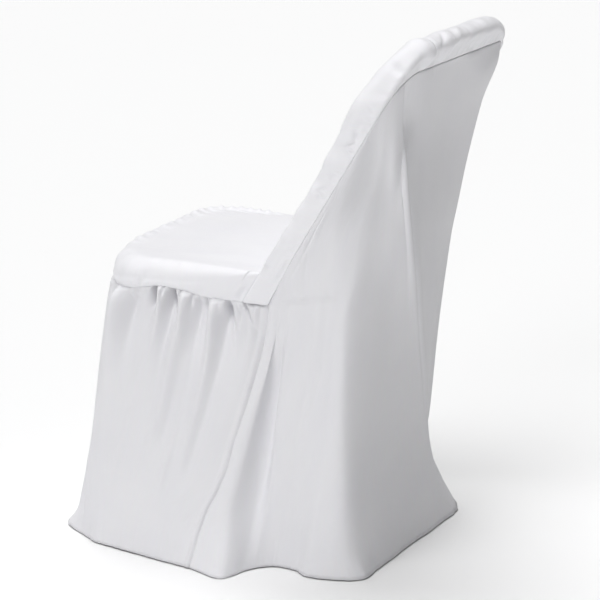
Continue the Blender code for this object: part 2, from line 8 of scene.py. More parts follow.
import bpy
import numpy as np
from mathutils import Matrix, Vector


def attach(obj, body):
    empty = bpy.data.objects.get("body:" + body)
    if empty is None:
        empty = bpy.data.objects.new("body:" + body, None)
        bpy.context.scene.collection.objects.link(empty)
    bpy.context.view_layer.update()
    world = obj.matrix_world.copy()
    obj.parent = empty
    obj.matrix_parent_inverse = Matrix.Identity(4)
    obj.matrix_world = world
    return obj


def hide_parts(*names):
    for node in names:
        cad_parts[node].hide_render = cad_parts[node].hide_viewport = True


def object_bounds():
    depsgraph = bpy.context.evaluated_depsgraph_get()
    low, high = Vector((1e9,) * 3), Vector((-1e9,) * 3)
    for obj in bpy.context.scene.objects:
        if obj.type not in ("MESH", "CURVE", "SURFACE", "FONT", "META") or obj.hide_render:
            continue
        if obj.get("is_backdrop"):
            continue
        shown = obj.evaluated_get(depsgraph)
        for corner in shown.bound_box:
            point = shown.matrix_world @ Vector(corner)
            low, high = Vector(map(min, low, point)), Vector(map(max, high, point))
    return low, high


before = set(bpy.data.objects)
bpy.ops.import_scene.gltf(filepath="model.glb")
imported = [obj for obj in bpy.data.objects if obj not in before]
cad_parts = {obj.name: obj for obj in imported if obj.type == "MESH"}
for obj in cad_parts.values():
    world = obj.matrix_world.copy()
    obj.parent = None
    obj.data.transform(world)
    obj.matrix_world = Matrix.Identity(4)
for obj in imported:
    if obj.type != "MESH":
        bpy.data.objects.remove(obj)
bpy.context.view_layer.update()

MILLIMETRES = 1000

# Cloth
FABRIC = 0.0006
HEM_FABRIC = 0.0013
FLOOR_GAP = 0.0005

# Hems: stitching, step of the turned cloth, lengths of the waves that the stitching draws, seeds
HEM_WIDTH = 0.012
STITCH_DEPTH = 0.0007
STITCH_WIDTH = 0.0013
HEM_STEP = 0.0004
HEM_STEP_RUN = 0.002
HEM_WAVES = (0.013, 0.021, 0.034)
HEM_WAVE_HEIGHT = 0.00028
HEM_WAVE_REACH = 0.016
SKIRT_HEM_SEED = 5
BACK_HEM_SEED = 9

# Seams: how far the cloth turns in behind one, how it rounds in and sinks beside it, where it faces
TUCK = 0.004
SEAT_TUCK = 0.012
TUCK_STEPS = 4
SEAM_ROLL = 0.004
CREASE_ROLL = 0.005
SEAM_DEPTH = 0.0004
SETTLING = 0.008
SIDE_SEAM_TO_REAR = 0.3
CREASE_FACING = np.array([0.0, -0.55, 0.835])

# Small puckers along the seams: least and most of each measure, then seeds, some with a scale
FIRST_PUCKER = 0.01
PUCKER_HEIGHTS = (-0.0009, 0.0006)
PUCKER_WIDTHS = (0.003, 0.006)
PUCKER_RUNS = (0.006, 0.014)
PUCKER_SLANTS = (-0.6, 0.6)
PUCKER_STEPS = (0.009, 0.024)
GATHERED_SEED = 33
REAR_SEED = 23
SIDE_PUCKERS = (21, 1.4)
PUFF_PUCKERS = (35, 2.4)

# Gathers and pleats: shape of an inward fold, and how much wider it gets on its way
PINCH_SHARE = 0.55
PINCH_POINT = 0.03
PINCH_FALL = 1.3
FOLD_WIDENING = 1.2
PLEAT_WIDENING = 0.5
PLEAT_EASE = 0.6
LEAST_REACH = 0.05
MOST_SPREAD = 2
REACH_UNIT = 0.1

# Fullness of the skirt under its gathered seam and at its near end, and its ridge at a side seam
GATHER_PUFF = 0.005
PUFF_REACH = 0.02
NEAR_FULLNESS = 1.3
NEAR_END = 0.31
NEAR_FADE = 0.03
LEVEL_REACH = 0.03
SIDE_RIDGE = 0.0022
RIDGE_PLACE = 0.006
RIDGE_WIDTH = 0.004
RIDGE_ONSET = 0.06

# Height of the inside back's wrap over the slab's edge
WRAP_CROWN = 0.002

# Slack cloth: its waves, then for each place height, factor on distances down, seed and pitch
SLACK_WAVES = 14
SLACK_SIZES = (0.6, 1.8)
SLACK_SOFTNESS = 1.5
SKIRT_SLACK = (0.0019, 0.35, 3, 0.085)
BACK_SLACK = (0.0014, 0.5, 11, 0.12)
SEAT_SLACK = (0.0006, 1.0, 31, 0.11)
BAND_SLACK = (0.0009, 0.4, 37, 0.034)
INSIDE_SLACK = (0.0012, 1.0, 41, 0.13)
WRAP_SLACK = (0.0007, 1.0, 43, 0.035)

# Distances over which relief grows from a seam, an end or the crease, or past which it fades
GATHER_ONSET = 0.012
PUCKER_ONSET = 0.004
SEAM_CALM = 0.006
END_CALM = 0.01
SEAT_END_CALM = 0.008
CREASE_CALM = 0.02
PUCKER_CALM = 0.01
SLACK_ONSET = 0.05
SEAT_SLACK_ONSET = 0.06
BAND_SLACK_ONSET = 0.005
BAND_SLACK_END = 0.035
WRAP_SLACK_ONSET = 0.008
WRAP_SLACK_END = 0.05

# Grid sizes, and how much the rows crowd towards the seam
SKIRT_COLUMNS = 440
SKIRT_ROWS = 104
SKIRT_ROW_CROWDING = 0.55
BACK_COLUMNS = 360
BACK_ROWS = 120
BACK_ROW_CROWDING = 0.35
INSIDE_COLUMNS = 380
WRAP_ROWS = 34
FRONT_ROWS = 56
SEAT_COLUMNS = 330
EDGE_ROWS = 30
TOP_ROWS = 40
BAND_STEPS = 8
CORNER_STEPS = 12

# Share of a panel's columns, and the place across in per cent that they have reached
SKIRT_CROWDING = ((0.0, 0.0), (0.58, 30.0), (1.0, 100.0))
BACK_CROWDING = ((0.0, 0.0), (0.45, 36.0), (1.0, 100.0))

# Seat
SEAT_TOP = 0.466
SEAT_HALF_WIDTH = 0.199
SEAT_FRONT = -0.200
SEAT_NEAR_RADIUS = 0.084
SEAT_FAR_RADIUS = 0.058
SEAT_BAND_BULGE = 0.002
JUNCTION = (0.200, 0.104, 0.419)

# Backrest slab inside the cover, which leans to the rear
LEAN = atan(0.61)
SLAB = 0.038
SEAM_HALF_WIDTH = 0.221
SEAM_TOP = 0.427
SEAM_NEAR_RADIUS = 0.064
SEAM_FAR_RADIUS = 0.040
CREASE_HALF_WIDTH = 0.198
FOOT_TAPER = 0.14

# Height of the gathered seam round the seat, which rides up where the gathers pull, most on the
# far side: distance along the seam from the near junction, height
SEAT_SEAM_HEIGHTS = (
    (0.0, 0.419), (0.06, 0.418), (0.11, 0.419), (0.15, 0.4255), (0.19, 0.428), (0.225, 0.4225),
    (0.26, 0.418), (0.32, 0.4225), (0.4, 0.43), (0.48, 0.436), (0.56, 0.443), (0.64, 0.449),
    (0.72, 0.452), (0.79, 0.449), (0.84, 0.437), (0.884, 0.419), (0.94, 0.419),
)

# Edge of the seat top: distance along the gathered seam, radius of the rounding, rise of the
# puckered rim
SEAT_EDGES = (
    (0.0, 0.018, 0.0), (0.15, 0.026, 0.0), (0.24, 0.03, 0.0), (0.3, 0.036, 0.0),
    (0.345, 0.026, 0.0), (0.4, 0.013, 0.0025), (0.5, 0.011, 0.004), (0.62, 0.01, 0.004),
    (0.74, 0.009, 0.003), (0.8, 0.009, 0.0), (0.84, 0.009, 0.0), (0.94, 0.009, 0.0),
)

# Wrap of the inside back over the slab's edge: distance along the rear seam, drop of the seam
# below the edge, radius at the rear, radius at the front, thickness of the slab under the cloth
WRAP = (
    (0.0, 0.001, 0.0008, 0.012, 0.038), (0.15, 0.0014, 0.0012, 0.016, 0.036),
    (0.25, 0.0014, 0.0012, 0.017, 0.036), (0.31, 0.002, 0.0018, 0.017, 0.04),
    (0.362, 0.004, 0.0035, 0.018, 0.046), (0.41, 0.012, 0.009, 0.022, 0.046),
    (0.464, 0.034, 0.011, 0.027, 0.04), (0.52, 0.041, 0.01, 0.027, 0.038),
    (0.73, 0.041, 0.01, 0.027, 0.038), (0.775, 0.034, 0.012, 0.024, 0.038),
    (0.815, 0.02, 0.016, 0.016, 0.038), (0.85, 0.012, 0.009, 0.013, 0.038),
    (0.9, 0.006, 0.004, 0.012, 0.038), (0.96, 0.003, 0.0025, 0.012, 0.038),
    (1.26, 0.003, 0.0025, 0.012, 0.038),
)

# Lines down the two side seams, from the four-panel junction to the hem: height, x, y in
# millimetres
NEAR_SIDE_SEAM = (
    (363, 201, 97), (315, 204, 86), (253, 211, 69), (197, 218, 52), (153, 224, 42), (118, 230, 29),
    (90, 236, 16), (49, 247, 4), (0, 267, -3),
)
FAR_SIDE_SEAM = (
    (363, -201, 96), (253, -210, 66), (150, -224, 40), (60, -243, 8), (0, -262, -6),
)

# Lines that the back panel hangs in: place across in per cent, distance along the rear seam,
# then height, x, y in millimetres for each place down the line
BACK_LINES = (
    (0, 0.0, NEAR_SIDE_SEAM),
    (4, 0.028, (
        (363, 203, 112), (253, 209, 86), (153, 222, 66), (90, 238, 55), (49, 256, 57),
        (0, 286, 62),
    )),
    (8, 0.065, (
        (419, 207, 133), (363, 203, 120), (253, 199, 106), (153, 200, 98), (90, 206, 93),
        (0, 228, 89),
    )),
    (12, 0.12, ((419, 210, 158), (253, 207, 135), (153, 205, 126), (90, 204, 120), (0, 205, 114))),
    (17, 0.2, ((500, 216, 180), (419, 213, 188), (253, 213, 172), (153, 212, 163), (0, 207, 150))),
    (22, 0.28, ((560, 206, 220), (419, 211, 213), (253, 213, 205), (0, 223, 185))),
    (27, 0.345, (
        (618, 179, 259), (525, 190, 244), (470, 198, 241), (442, 203, 238), (400, 206, 234),
        (150, 206, 234), (40, 205, 241), (0, 202, 257),
    )),
    (32, 0.38, (
        (618, 162, 273), (525, 164, 264), (450, 165, 258), (290, 158, 251), (150, 152, 248),
        (0, 145, 264),
    )),
    (38, 0.405, (
        (618, 148, 284), (525, 140, 280), (450, 126, 275), (290, 94, 259), (150, 67, 252),
        (0, 48, 269),
    )),
    (44, 0.422, (
        (655, 142, 292), (560, 128, 291), (450, 100, 287), (290, 34, 264), (150, -10, 255),
        (0, -42, 277),
    )),
    (48, 0.437, (
        (706, 140, 299), (655, 133, 300), (600, 126, 301), (520, 105, 300), (450, 78, 296),
        (290, -20, 268), (150, -79, 256), (60, -106, 264), (0, -122, 282),
    )),
    (52, 0.5, (
        (655, 78, 294), (520, 45, 288), (450, 20, 281), (290, -60, 256), (150, -105, 244),
        (60, -126, 258), (0, -139, 282),
    )),
    (57, 0.57, (
        (655, 12, 290), (520, -20, 279), (450, -42, 269), (290, -100, 247), (150, -133, 233),
        (100, -143, 231), (40, -150, 256), (0, -153, 281),
    )),
    (62, 0.68, (
        (655, -78, 289), (520, -100, 272), (450, -112, 259), (290, -143, 238), (150, -162, 223),
        (100, -168, 220), (40, -167, 250), (0, -166, 276),
    )),
    (67, 0.78, (
        (742, -162, 323), (684, -162, 301), (600, -165, 279), (520, -168, 263), (450, -170, 248),
        (290, -180, 227), (150, -188, 214), (100, -189, 211), (40, -183, 242), (0, -176, 271),
    )),
    (72, 0.84, (
        (742, -198, 318), (684, -193, 294), (600, -195, 271), (520, -196, 254), (450, -197, 241),
        (290, -201, 222), (150, -204, 207), (100, -205, 203), (40, -203, 228), (0, -198, 256),
    )),
    (77, 0.9, (
        (600, -214, 236), (450, -212, 212), (290, -212, 198), (150, -212, 187), (0, -214, 220),
    )),
    (82, 0.985, (
        (520, -214, 200), (419, -211, 185), (290, -212, 170), (150, -209, 158), (0, -207, 178),
    )),
    (87, 1.075, ((419, -211, 155), (290, -206, 140), (150, -204, 128), (0, -212, 132))),
    (92, 1.16, ((419, -208, 130), (290, -203, 114), (150, -214, 98), (0, -248, 90))),
    (96, 1.21, ((363, -203, 110), (253, -210, 84), (150, -227, 62), (0, -278, 50))),
    (100, 1.2515, FAR_SIDE_SEAM),
)

# Lines that the skirt hangs in: place across in per cent, distance along the seat seam,
# then height, x, y in millimetres for each place down the line
SKIRT_LINES = (
    (0, 0.0, NEAR_SIDE_SEAM),
    (6, 0.06, (
        (391, 205, 40), (330, 208, 30), (253, 215, 10), (153, 227, -20), (60, 244, -45),
        (0, 258, -55),
    )),
    (14, 0.14, (
        (391, 206, -40), (330, 210, -50), (253, 214, -62), (153, 222, -85), (60, 235, -108),
        (0, 244, -120),
    )),
    (21, 0.21, (
        (391, 205, -112), (330, 209, -122), (253, 212, -135), (153, 217, -155), (60, 225, -172),
        (0, 232, -180),
    )),
    (27, 0.265, (
        (391, 197, -167), (330, 200, -180), (253, 203, -190), (153, 206, -205), (60, 211, -215),
        (0, 213, -222),
    )),
    (33, 0.314, (
        (391, 160, -200), (347, 162, -208), (305, 163, -214), (226, 164, -223), (166, 164, -231),
        (113, 165, -241), (65, 166, -250), (25, 167, -260), (0, 166, -278),
    )),
    (42, 0.39, (
        (391, 82, -212), (347, 83, -221), (253, 86, -232), (153, 88, -242), (60, 90, -254),
        (0, 92, -264),
    )),
    (50, 0.47, (
        (391, 0, -210), (347, 0, -218), (253, 0, -228), (153, 2, -238), (60, 4, -250),
        (0, 4, -256),
    )),
    (58, 0.55, (
        (391, -82, -211), (347, -83, -222), (253, -85, -234), (153, -88, -246), (60, -90, -258),
        (0, -94, -268),
    )),
    (67, 0.626, (
        (391, -160, -203), (347, -163, -211), (253, -166, -224), (153, -170, -238),
        (60, -174, -254), (0, -180, -266),
    )),
    (73, 0.675, (
        (391, -197, -167), (330, -201, -180), (253, -204, -192), (153, -209, -206),
        (60, -217, -220), (0, -226, -228),
    )),
    (79, 0.73, (
        (391, -205, -112), (330, -209, -122), (253, -213, -135), (153, -220, -153),
        (60, -231, -168), (0, -239, -176),
    )),
    (86, 0.8, (
        (391, -206, -42), (330, -209, -52), (253, -214, -64), (153, -223, -86), (60, -238, -106),
        (0, -250, -112),
    )),
    (94, 0.88, (
        (391, -205, 40), (330, -208, 28), (253, -214, 10), (153, -225, -18), (60, -241, -44),
        (0, -258, -56),
    )),
    (100, 0.94, FAR_SIDE_SEAM),
)

# Gathers of the skirt: distance along the seam, depth (inward is negative), half width, reach
# as a share of the drop, and lean along the seam as it goes down, where it has any
SKIRT_FOLDS = (
    (0.022, 0.0041, 0.009, 0.3), (0.044, -0.0061, 0.007, 0.18), (0.066, -0.0081, 0.008, 0.26),
    (0.09, 0.0047, 0.011, 0.45), (0.116, -0.0101, 0.01, 0.34), (0.142, 0.0047, 0.009, 0.55),
    (0.167, -0.0115, 0.008, 0.24), (0.183, 0.0041, 0.007, 0.3), (0.198, -0.0088, 0.007, 0.16),
    (0.231, -0.0081, 0.016, 0.38), (0.262, 0.0054, 0.01, 0.3), (0.284, -0.0074, 0.008, 0.2),
    (0.333, -0.0095, 0.009, 0.26), (0.361, -0.0068, 0.008, 0.18), (0.392, -0.0108, 0.011, 0.4),
    (0.421, 0.0047, 0.009, 0.35), (0.446, -0.0088, 0.008, 0.22), (0.487, -0.0108, 0.01, 0.32),
    (0.516, -0.0061, 0.007, 0.18), (0.547, -0.0101, 0.011, 0.42), (0.58, 0.0047, 0.01, 0.38),
    (0.604, -0.0088, 0.008, 0.24), (0.648, -0.0095, 0.009, 0.26), (0.676, -0.0068, 0.008, 0.2),
    (0.711, -0.0108, 0.011, 0.36), (0.741, 0.0047, 0.009, 0.4), (0.764, -0.0081, 0.008, 0.22),
    (0.803, -0.0108, 0.01, 0.34), (0.835, -0.0068, 0.008, 0.18), (0.862, 0.0047, 0.009, 0.45),
    (0.889, -0.0095, 0.009, 0.28), (0.918, -0.0061, 0.008, 0.2),
)

# Puckers of the inside back along the rear seam: distance along it, height (inward is negative),
# half width, how far they run in from the seam
BACK_PUCKERS = (
    (0.24, -0.003, 0.014, 0.045), (0.272, 0.0025, 0.014, 0.045), (0.325, -0.003, 0.014, 0.045),
    (0.366, 0.003, 0.015, 0.05), (0.408, -0.003, 0.013, 0.05), (0.446, -0.004, 0.013, 0.055),
    (0.476, 0.007, 0.013, 0.07), (0.507, -0.0035, 0.013, 0.06), (0.545, 0.004, 0.015, 0.065),
    (0.585, -0.003, 0.015, 0.06), (0.66, -0.003, 0.015, 0.06), (0.7, 0.0025, 0.015, 0.06),
    (0.76, -0.0035, 0.015, 0.06), (0.905, -0.003, 0.015, 0.045), (0.99, -0.003, 0.015, 0.045),
)

# Sharper gathers of the skirt, among its long ones, in the same columns
SKIRT_PLEATS = (
    (0.012, -0.003, 0.003, 0.05), (0.026, -0.0026, 0.0026, 0.05, -0.2),
    (0.043, -0.013, 0.0028, 0.07, -0.7), (0.055, -0.0024, 0.0024, 0.04, -0.4),
    (0.071, -0.018, 0.0036, 0.12, -0.37), (0.084, -0.0024, 0.0024, 0.04, -0.2),
    (0.094, 0.0026, 0.005, 0.1, -0.2), (0.106, -0.016, 0.005, 0.22, -0.1),
    (0.118, -0.0026, 0.0024, 0.04), (0.13, -0.011, 0.0022, 0.04), (0.141, 0.0024, 0.0045, 0.12),
    (0.151, -0.011, 0.0022, 0.035), (0.166, -0.034, 0.0033, 0.09, -0.29),
    (0.181, -0.011, 0.0022, 0.035), (0.188, 0.0022, 0.0035, 0.09, -0.1),
    (0.197, -0.032, 0.0031, 0.07, -0.15), (0.209, -0.0026, 0.0026, 0.04),
    (0.228, -0.0055, 0.012, 0.26, 0.08), (0.246, -0.0034, 0.004, 0.07, -0.4),
    (0.259, -0.0024, 0.0026, 0.05), (0.272, -0.0045, 0.004, 0.09, 0.1),
    (0.29, -0.004, 0.0035, 0.08), (0.312, -0.005, 0.004, 0.1, -0.1), (0.334, -0.004, 0.0036, 0.08),
    (0.352, -0.006, 0.0045, 0.12, 0.1), (0.376, -0.004, 0.0038, 0.06),
    (0.396, -0.0065, 0.0048, 0.14, -0.1), (0.42, -0.0036, 0.0038, 0.07),
    (0.44, -0.006, 0.0045, 0.1, 0.1), (0.465, -0.004, 0.004, 0.07), (0.484, -0.007, 0.005, 0.15),
    (0.51, -0.0045, 0.004, 0.08, -0.1), (0.535, -0.006, 0.0048, 0.12, 0.1),
    (0.562, -0.004, 0.004, 0.07), (0.59, -0.0055, 0.0045, 0.09, -0.1),
    (0.616, -0.0065, 0.0048, 0.13), (0.64, -0.004, 0.004, 0.07, 0.1), (0.662, -0.006, 0.0045, 0.1),
    (0.692, -0.0045, 0.004, 0.07), (0.712, -0.007, 0.0048, 0.14, 0.1),
    (0.738, -0.004, 0.004, 0.07), (0.76, -0.006, 0.0045, 0.11, -0.1), (0.784, -0.004, 0.004, 0.07),
    (0.806, -0.007, 0.0048, 0.13), (0.83, -0.0045, 0.004, 0.08, 0.1),
    (0.849, -0.0036, 0.0038, 0.06), (0.876, -0.0055, 0.0042, 0.1, 0.1),
    (0.904, -0.0045, 0.004, 0.07), (0.926, -0.003, 0.0035, 0.05),
)

# Puckers that rise from the gathered seam into the band of the seat, in the same columns, with
# the reach as a share of REACH_UNIT
SEAT_PUCKERS = (
    (0.052, -0.0042, 0.004, 0.2, 0.35), (0.073, 0.0023, 0.006, 0.22, 0.2),
    (0.118, -0.0027, 0.006, 0.3), (0.15, -0.0019, 0.006, 0.25), (0.186, -0.0023, 0.005, 0.25),
    (0.222, -0.0038, 0.0045, 0.22, -0.4), (0.236, 0.0027, 0.006, 0.22, -0.3),
    (0.27, -0.0023, 0.005, 0.25), (0.31, -0.0027, 0.0055, 0.25), (0.352, -0.0016, 0.005, 0.3),
    (0.386, -0.0014, 0.005, 0.3), (0.424, -0.0018, 0.005, 0.3), (0.461, -0.0014, 0.005, 0.3),
    (0.497, -0.0018, 0.005, 0.28), (0.533, -0.0015, 0.005, 0.28), (0.57, -0.0018, 0.005, 0.28),
    (0.606, -0.0015, 0.005, 0.26), (0.641, -0.0018, 0.0045, 0.26), (0.676, -0.0018, 0.0045, 0.26),
    (0.7, -0.002, 0.004, 0.26), (0.722, -0.002, 0.004, 0.26), (0.745, -0.002, 0.004, 0.26),
    (0.77, -0.002, 0.004, 0.26), (0.8, -0.0016, 0.0045, 0.26), (0.835, -0.0014, 0.005, 0.26),
)

# Sharp pleats in the wrap of the inside back, in the same columns, with the reach as a share of
# REACH_UNIT
WRAP_PLEATS = (
    (0.06, -0.0018, 0.005, 0.25), (0.11, -0.0022, 0.005, 0.25), (0.16, -0.0022, 0.005, 0.25),
    (0.205, -0.0025, 0.0045, 0.28), (0.232, -0.0029, 0.0045, 0.3), (0.258, -0.0029, 0.0045, 0.3),
    (0.29, -0.0036, 0.0045, 0.32), (0.308, -0.0029, 0.004, 0.32), (0.345, -0.0025, 0.0045, 0.3),
    (0.392, -0.0025, 0.0045, 0.35), (0.425, -0.0029, 0.0045, 0.4), (0.458, -0.0032, 0.0045, 0.45),
    (0.49, -0.005, 0.0045, 0.5), (0.52, -0.0032, 0.0045, 0.5), (0.56, -0.0029, 0.005, 0.5),
    (0.61, -0.0025, 0.005, 0.5), (0.68, -0.0025, 0.005, 0.5), (0.735, -0.0029, 0.005, 0.5),
    (0.785, -0.0032, 0.005, 0.45), (0.83, -0.0032, 0.0045, 0.4), (0.87, -0.0029, 0.0045, 0.32),
    (0.93, -0.0025, 0.0045, 0.3), (1.01, -0.0025, 0.0045, 0.28), (1.09, -0.0022, 0.0045, 0.26),
    (1.17, -0.0022, 0.0045, 0.25),
)

# Soft creases, each from one place to another on its panel (distance along the seam, distance
# from the seam), then height and half width, in some rows with the width of the flank further
# along the seam
SKIRT_CREASES = (
    ((0.25, 0.003), (0.214, 0.022), 0.0035, 0.0045), ((0.12, 0.06), (0.112, 0.33), 0.0036, 0.009),
    ((0.152, 0.04), (0.158, 0.3), 0.0034, 0.009), ((0.086, 0.04), (0.08, 0.3), 0.0032, 0.009),
    ((0.198, 0.08), (0.214, 0.34), 0.003, 0.01), ((0.136, 0.08), (0.136, 0.26), -0.003, 0.008),
    ((0.066, 0.09), (0.06, 0.3), -0.0028, 0.008), ((0.036, 0.3), (0.08, 0.36), 0.0012, 0.006),
    ((0.284, 0.24), (0.286, 0.4), -0.009, 0.008, 0.008),
    ((0.272, 0.18), (0.272, 0.4), 0.003, 0.007), ((0.018, 0.35), (0.04, 0.372), -0.0016, 0.004),
    ((0.014, 0.366), (0.032, 0.386), -0.0016, 0.004),
)
BACK_CREASES = (
    ((0.425, 0.0), (0.437, 0.15), -0.0024, 0.0028),
    ((0.437, 0.135), (0.437, 0.38), -0.0024, 0.0026),
    ((0.437, 0.365), (0.437, 0.68), -0.002, 0.003),
    ((0.42, 0.04), (0.424, 0.36), 0.005, 0.021, 0.0125),
    ((0.022, 0.02), (0.076, 0.23), -0.0034, 0.011, 0.01),
    ((0.079, 0.1), (0.052, 0.48), -0.0185, 0.033, 0.0095),
    ((0.05, 0.032), (0.3, 0.236), 0.0014, 0.0026), ((0.027, 0.003), (0.033, 0.01), -0.003, 0.0018),
    ((0.07, 0.02), (0.23, 0.03), -0.0012, 0.006), ((0.12, 0.01), (0.245, 0.12), 0.0012, 0.008),
    ((0.3338, 0.7), (0.3338, 0.735), 0.0008, 0.002),
)
SEAT_CREASES = (
    ((0.055, 0.004), (0.058, 0.036), -0.0022, 0.0032),
    ((0.066, 0.006), (0.069, 0.04), 0.0014, 0.004),
    ((0.22, 0.006), (0.233, 0.018), -0.0024, 0.003),
)
INSIDE_CREASES = (
    ((0.306, 0.01), (0.333, 0.024), -0.0065, 0.003),
    ((0.318, 0.006), (0.344, 0.018), 0.0044, 0.004),
    ((0.288, 0.004), (0.302, 0.026), -0.0049, 0.0028),
    ((0.3, 0.03), (0.312, 0.01), -0.0044, 0.0026),
    ((0.238, 0.008), (0.254, 0.022), -0.0054, 0.003),
    ((0.208, 0.01), (0.223, 0.03), -0.0054, 0.003),
    ((0.218, 0.03), (0.232, 0.012), -0.0044, 0.003),
    ((0.36, 0.01), (0.374, 0.032), -0.0049, 0.0032),
    ((0.348, 0.008), (0.36, 0.024), 0.0032, 0.0034), ((0.42, 0.01), (0.43, 0.05), -0.0049, 0.004),
    ((0.46, 0.02), (0.47, 0.075), 0.0042, 0.005), ((0.484, 0.018), (0.496, 0.08), -0.008, 0.0045),
    ((0.505, 0.025), (0.54, 0.06), -0.0042, 0.004), ((0.556, 0.03), (0.6, 0.06), 0.0065, 0.008),
    ((0.615, 0.02), (0.63, 0.06), -0.0038, 0.006), ((0.04, 0.012), (0.1, 0.012), 0.0022, 0.004),
)

# Puckered rim of the seat's front and far edges: distance along the seam, height, half width
RIM_PUCKERS = (
    (0.372, 0.001, 0.006), (0.398, 0.0014, 0.0055), (0.424, 0.0012, 0.006),
    (0.452, 0.0016, 0.0055), (0.481, 0.0013, 0.006), (0.508, 0.0017, 0.005),
    (0.537, 0.0014, 0.0055), (0.566, 0.0018, 0.005), (0.593, 0.0016, 0.005),
    (0.618, 0.002, 0.0048), (0.642, 0.0017, 0.0045), (0.666, 0.0024, 0.0045),
    (0.687, 0.0022, 0.0042), (0.706, 0.003, 0.004), (0.724, 0.0026, 0.004),
    (0.741, 0.0032, 0.0038), (0.757, 0.0026, 0.004), (0.775, 0.0016, 0.0038),
)

# Polyester: scales of its weave and slubs, tinges, sheen, and strength and depth of its relief
WEAVE_SCALE = 260.0
SLUB_SCALE = (900.0, 45.0, 1.0)
TINGES = ((0.3, (0.972, 0.968, 1.004)), (0.7, (0.998, 0.994, 1.02)))
SHEEN = {"Sheen Weight": 0.18, "Sheen Roughness": 0.45, "Specular IOR Level": 0.35}
BUMPS = ((0.35, 0.00012), (0.25, 0.00015), (0.35, 0.0012))

# The part's own origin, measured from the floor under the chair's middle
HANG_POINT = Vector((0.0, 0.3216005, 0.8297073))

# Camera
VIEW_TARGET = Vector((0.0034, 0.065, 0.375))
VIEW_AZIMUTH = 114.8
VIEW_ELEVATION = 14.8
VIEW_DISTANCE = 3.611
VIEW_LENS = 135.2
VIEW_DEPTH = 60
SENSOR_WIDTH = 36

# Soft lights: name, azimuth, elevation, strength, apparent size in degrees
WORLD_STRENGTH = 0.02
LIGHTS = (
    ("high_far", 300.0, 76.0, 1.86, 36.0),
    ("high_near", 90.0, 63.0, 1.36, 34.0),
    ("near_side", 78.0, 12.0, 0.70, 24.0),
    ("rear", 150.0, 46.0, 0.14, 40.0),
)
FLOOR_TONE = 0.93
FLOOR_REACH = 30.0

# Ends of the seat and of the inside back, where they close to a point, and the edge of the seat
END_TAPER = 0.09
MOST_ROUNDING = 0.8
LEAST_ROUNDING = 0.0003
LEAST_RIM = 0.001
RIM_WIDTH = 0.012
RIM_SLOPE = 8.0
SHORT_COLUMN = 0.02
SHORT_COLUMN_SHARE = 0.6


def curve(rows, at):
    """Values on a smooth curve through the rows of a table whose first column is the key."""
    rows = np.asarray(rows, float)
    if rows[0, 0] > rows[-1, 0]:
        rows = rows[::-1]
    key, values = rows[:, 0], rows[:, 1:]
    at = np.clip(np.asarray(at, float), key[0], key[-1])
    i = np.clip(np.searchsorted(key, at) - 1, 0, len(key) - 2)
    before = np.maximum(np.arange(len(key)) - 1, 0)
    after = np.minimum(np.arange(len(key)) + 1, len(key) - 1)
    slope = (values[after] - values[before]) / (key[after] - key[before])[:, None]
    span = (key[i + 1] - key[i])[..., None]
    t = (at[..., None] - key[i][..., None]) / span
    return (
        values[i] * (2 * t**3 - 3 * t**2 + 1)
        + slope[i] * span * (t**3 - 2 * t**2 + t)
        + values[i + 1] * (3 * t**2 - 2 * t**3)
        + slope[i + 1] * span * (t**3 - t**2)
    )


def run_lengths(points):
    """Distance along each column of a grid of points, from its first row."""
    steps = np.linalg.norm(np.diff(points, axis=0), axis=-1)
    return np.concatenate([np.zeros((1,) + steps.shape[1:]), np.cumsum(steps, axis=0)])


def round_corner(run, straight, radius, half_width):
    """Walks up a straight side, round a corner and in to the middle: across, along, the turn."""
    turn = np.clip((run - straight) / radius, 0, pi / 2)
    past_corner = np.maximum(run - straight - radius * pi / 2, 0)
    across = half_width - radius + radius * np.cos(turn) - past_corner
    along = np.minimum(run, straight) + radius * np.sin(turn)
    return across, along, turn


def half_length(straight, radius, half_width):
    return straight + radius * pi / 2 + half_width - radius


def two_sided(distance, depth, half_width, near_radius, far_radius):
    """Walks a U from its near end, whose two corners differ: across, along, outward direction."""
    near = half_length(depth - near_radius, near_radius, half_width)
    far = half_length(depth - far_radius, far_radius, half_width)
    x0, y0, turn0 = round_corner(distance, depth - near_radius, near_radius, half_width)
    x1, y1, turn1 = round_corner(near + far - distance, depth - far_radius, far_radius, half_width)
    first = distance <= near
    out = [np.where(first, np.cos(turn0), -np.cos(turn1)), np.sin(np.where(first, turn0, turn1))]
    return np.where(first, x0, -x1), np.where(first, y0, y1), np.stack(out, -1)


def two_sided_length(depth, half_width, near_radius, far_radius):
    near = half_length(depth - near_radius, near_radius, half_width)
    return near + half_length(depth - far_radius, far_radius, half_width)


SEAT_SHAPE = (JUNCTION[1] - SEAT_FRONT, SEAT_HALF_WIDTH, SEAT_NEAR_RADIUS, SEAT_FAR_RADIUS)
SEAT_SEAM_LENGTH = two_sided_length(*SEAT_SHAPE)
REAR_SHAPE = (SEAM_TOP, SEAM_HALF_WIDTH, SEAM_NEAR_RADIUS, SEAM_FAR_RADIUS)
REAR_SEAM_LENGTH = two_sided_length(*REAR_SHAPE)
FRONT_SHIFT = SLAB / cos(LEAN)
CREASE_Y = JUNCTION[1] + (SEAT_TOP - JUNCTION[2]) * tan(LEAN) - FRONT_SHIFT


def seat_seam(distance):
    """Points on the gathered seam round the seat, and the directions that face out there."""
    across, along, out = two_sided(distance, *SEAT_SHAPE)
    height = curve(SEAT_SEAM_HEIGHTS, distance)[..., 0]
    points = np.stack([across, JUNCTION[1] - along, height], -1)
    return points, np.stack([out[..., 0], -out[..., 1], np.zeros_like(height)], -1)


def slab_point(x, up):
    """Points on the rear face of the backrest slab, up along its lean from the junction."""
    return np.stack([x, JUNCTION[1] + up * sin(LEAN), JUNCTION[2] + up * cos(LEAN)], -1)


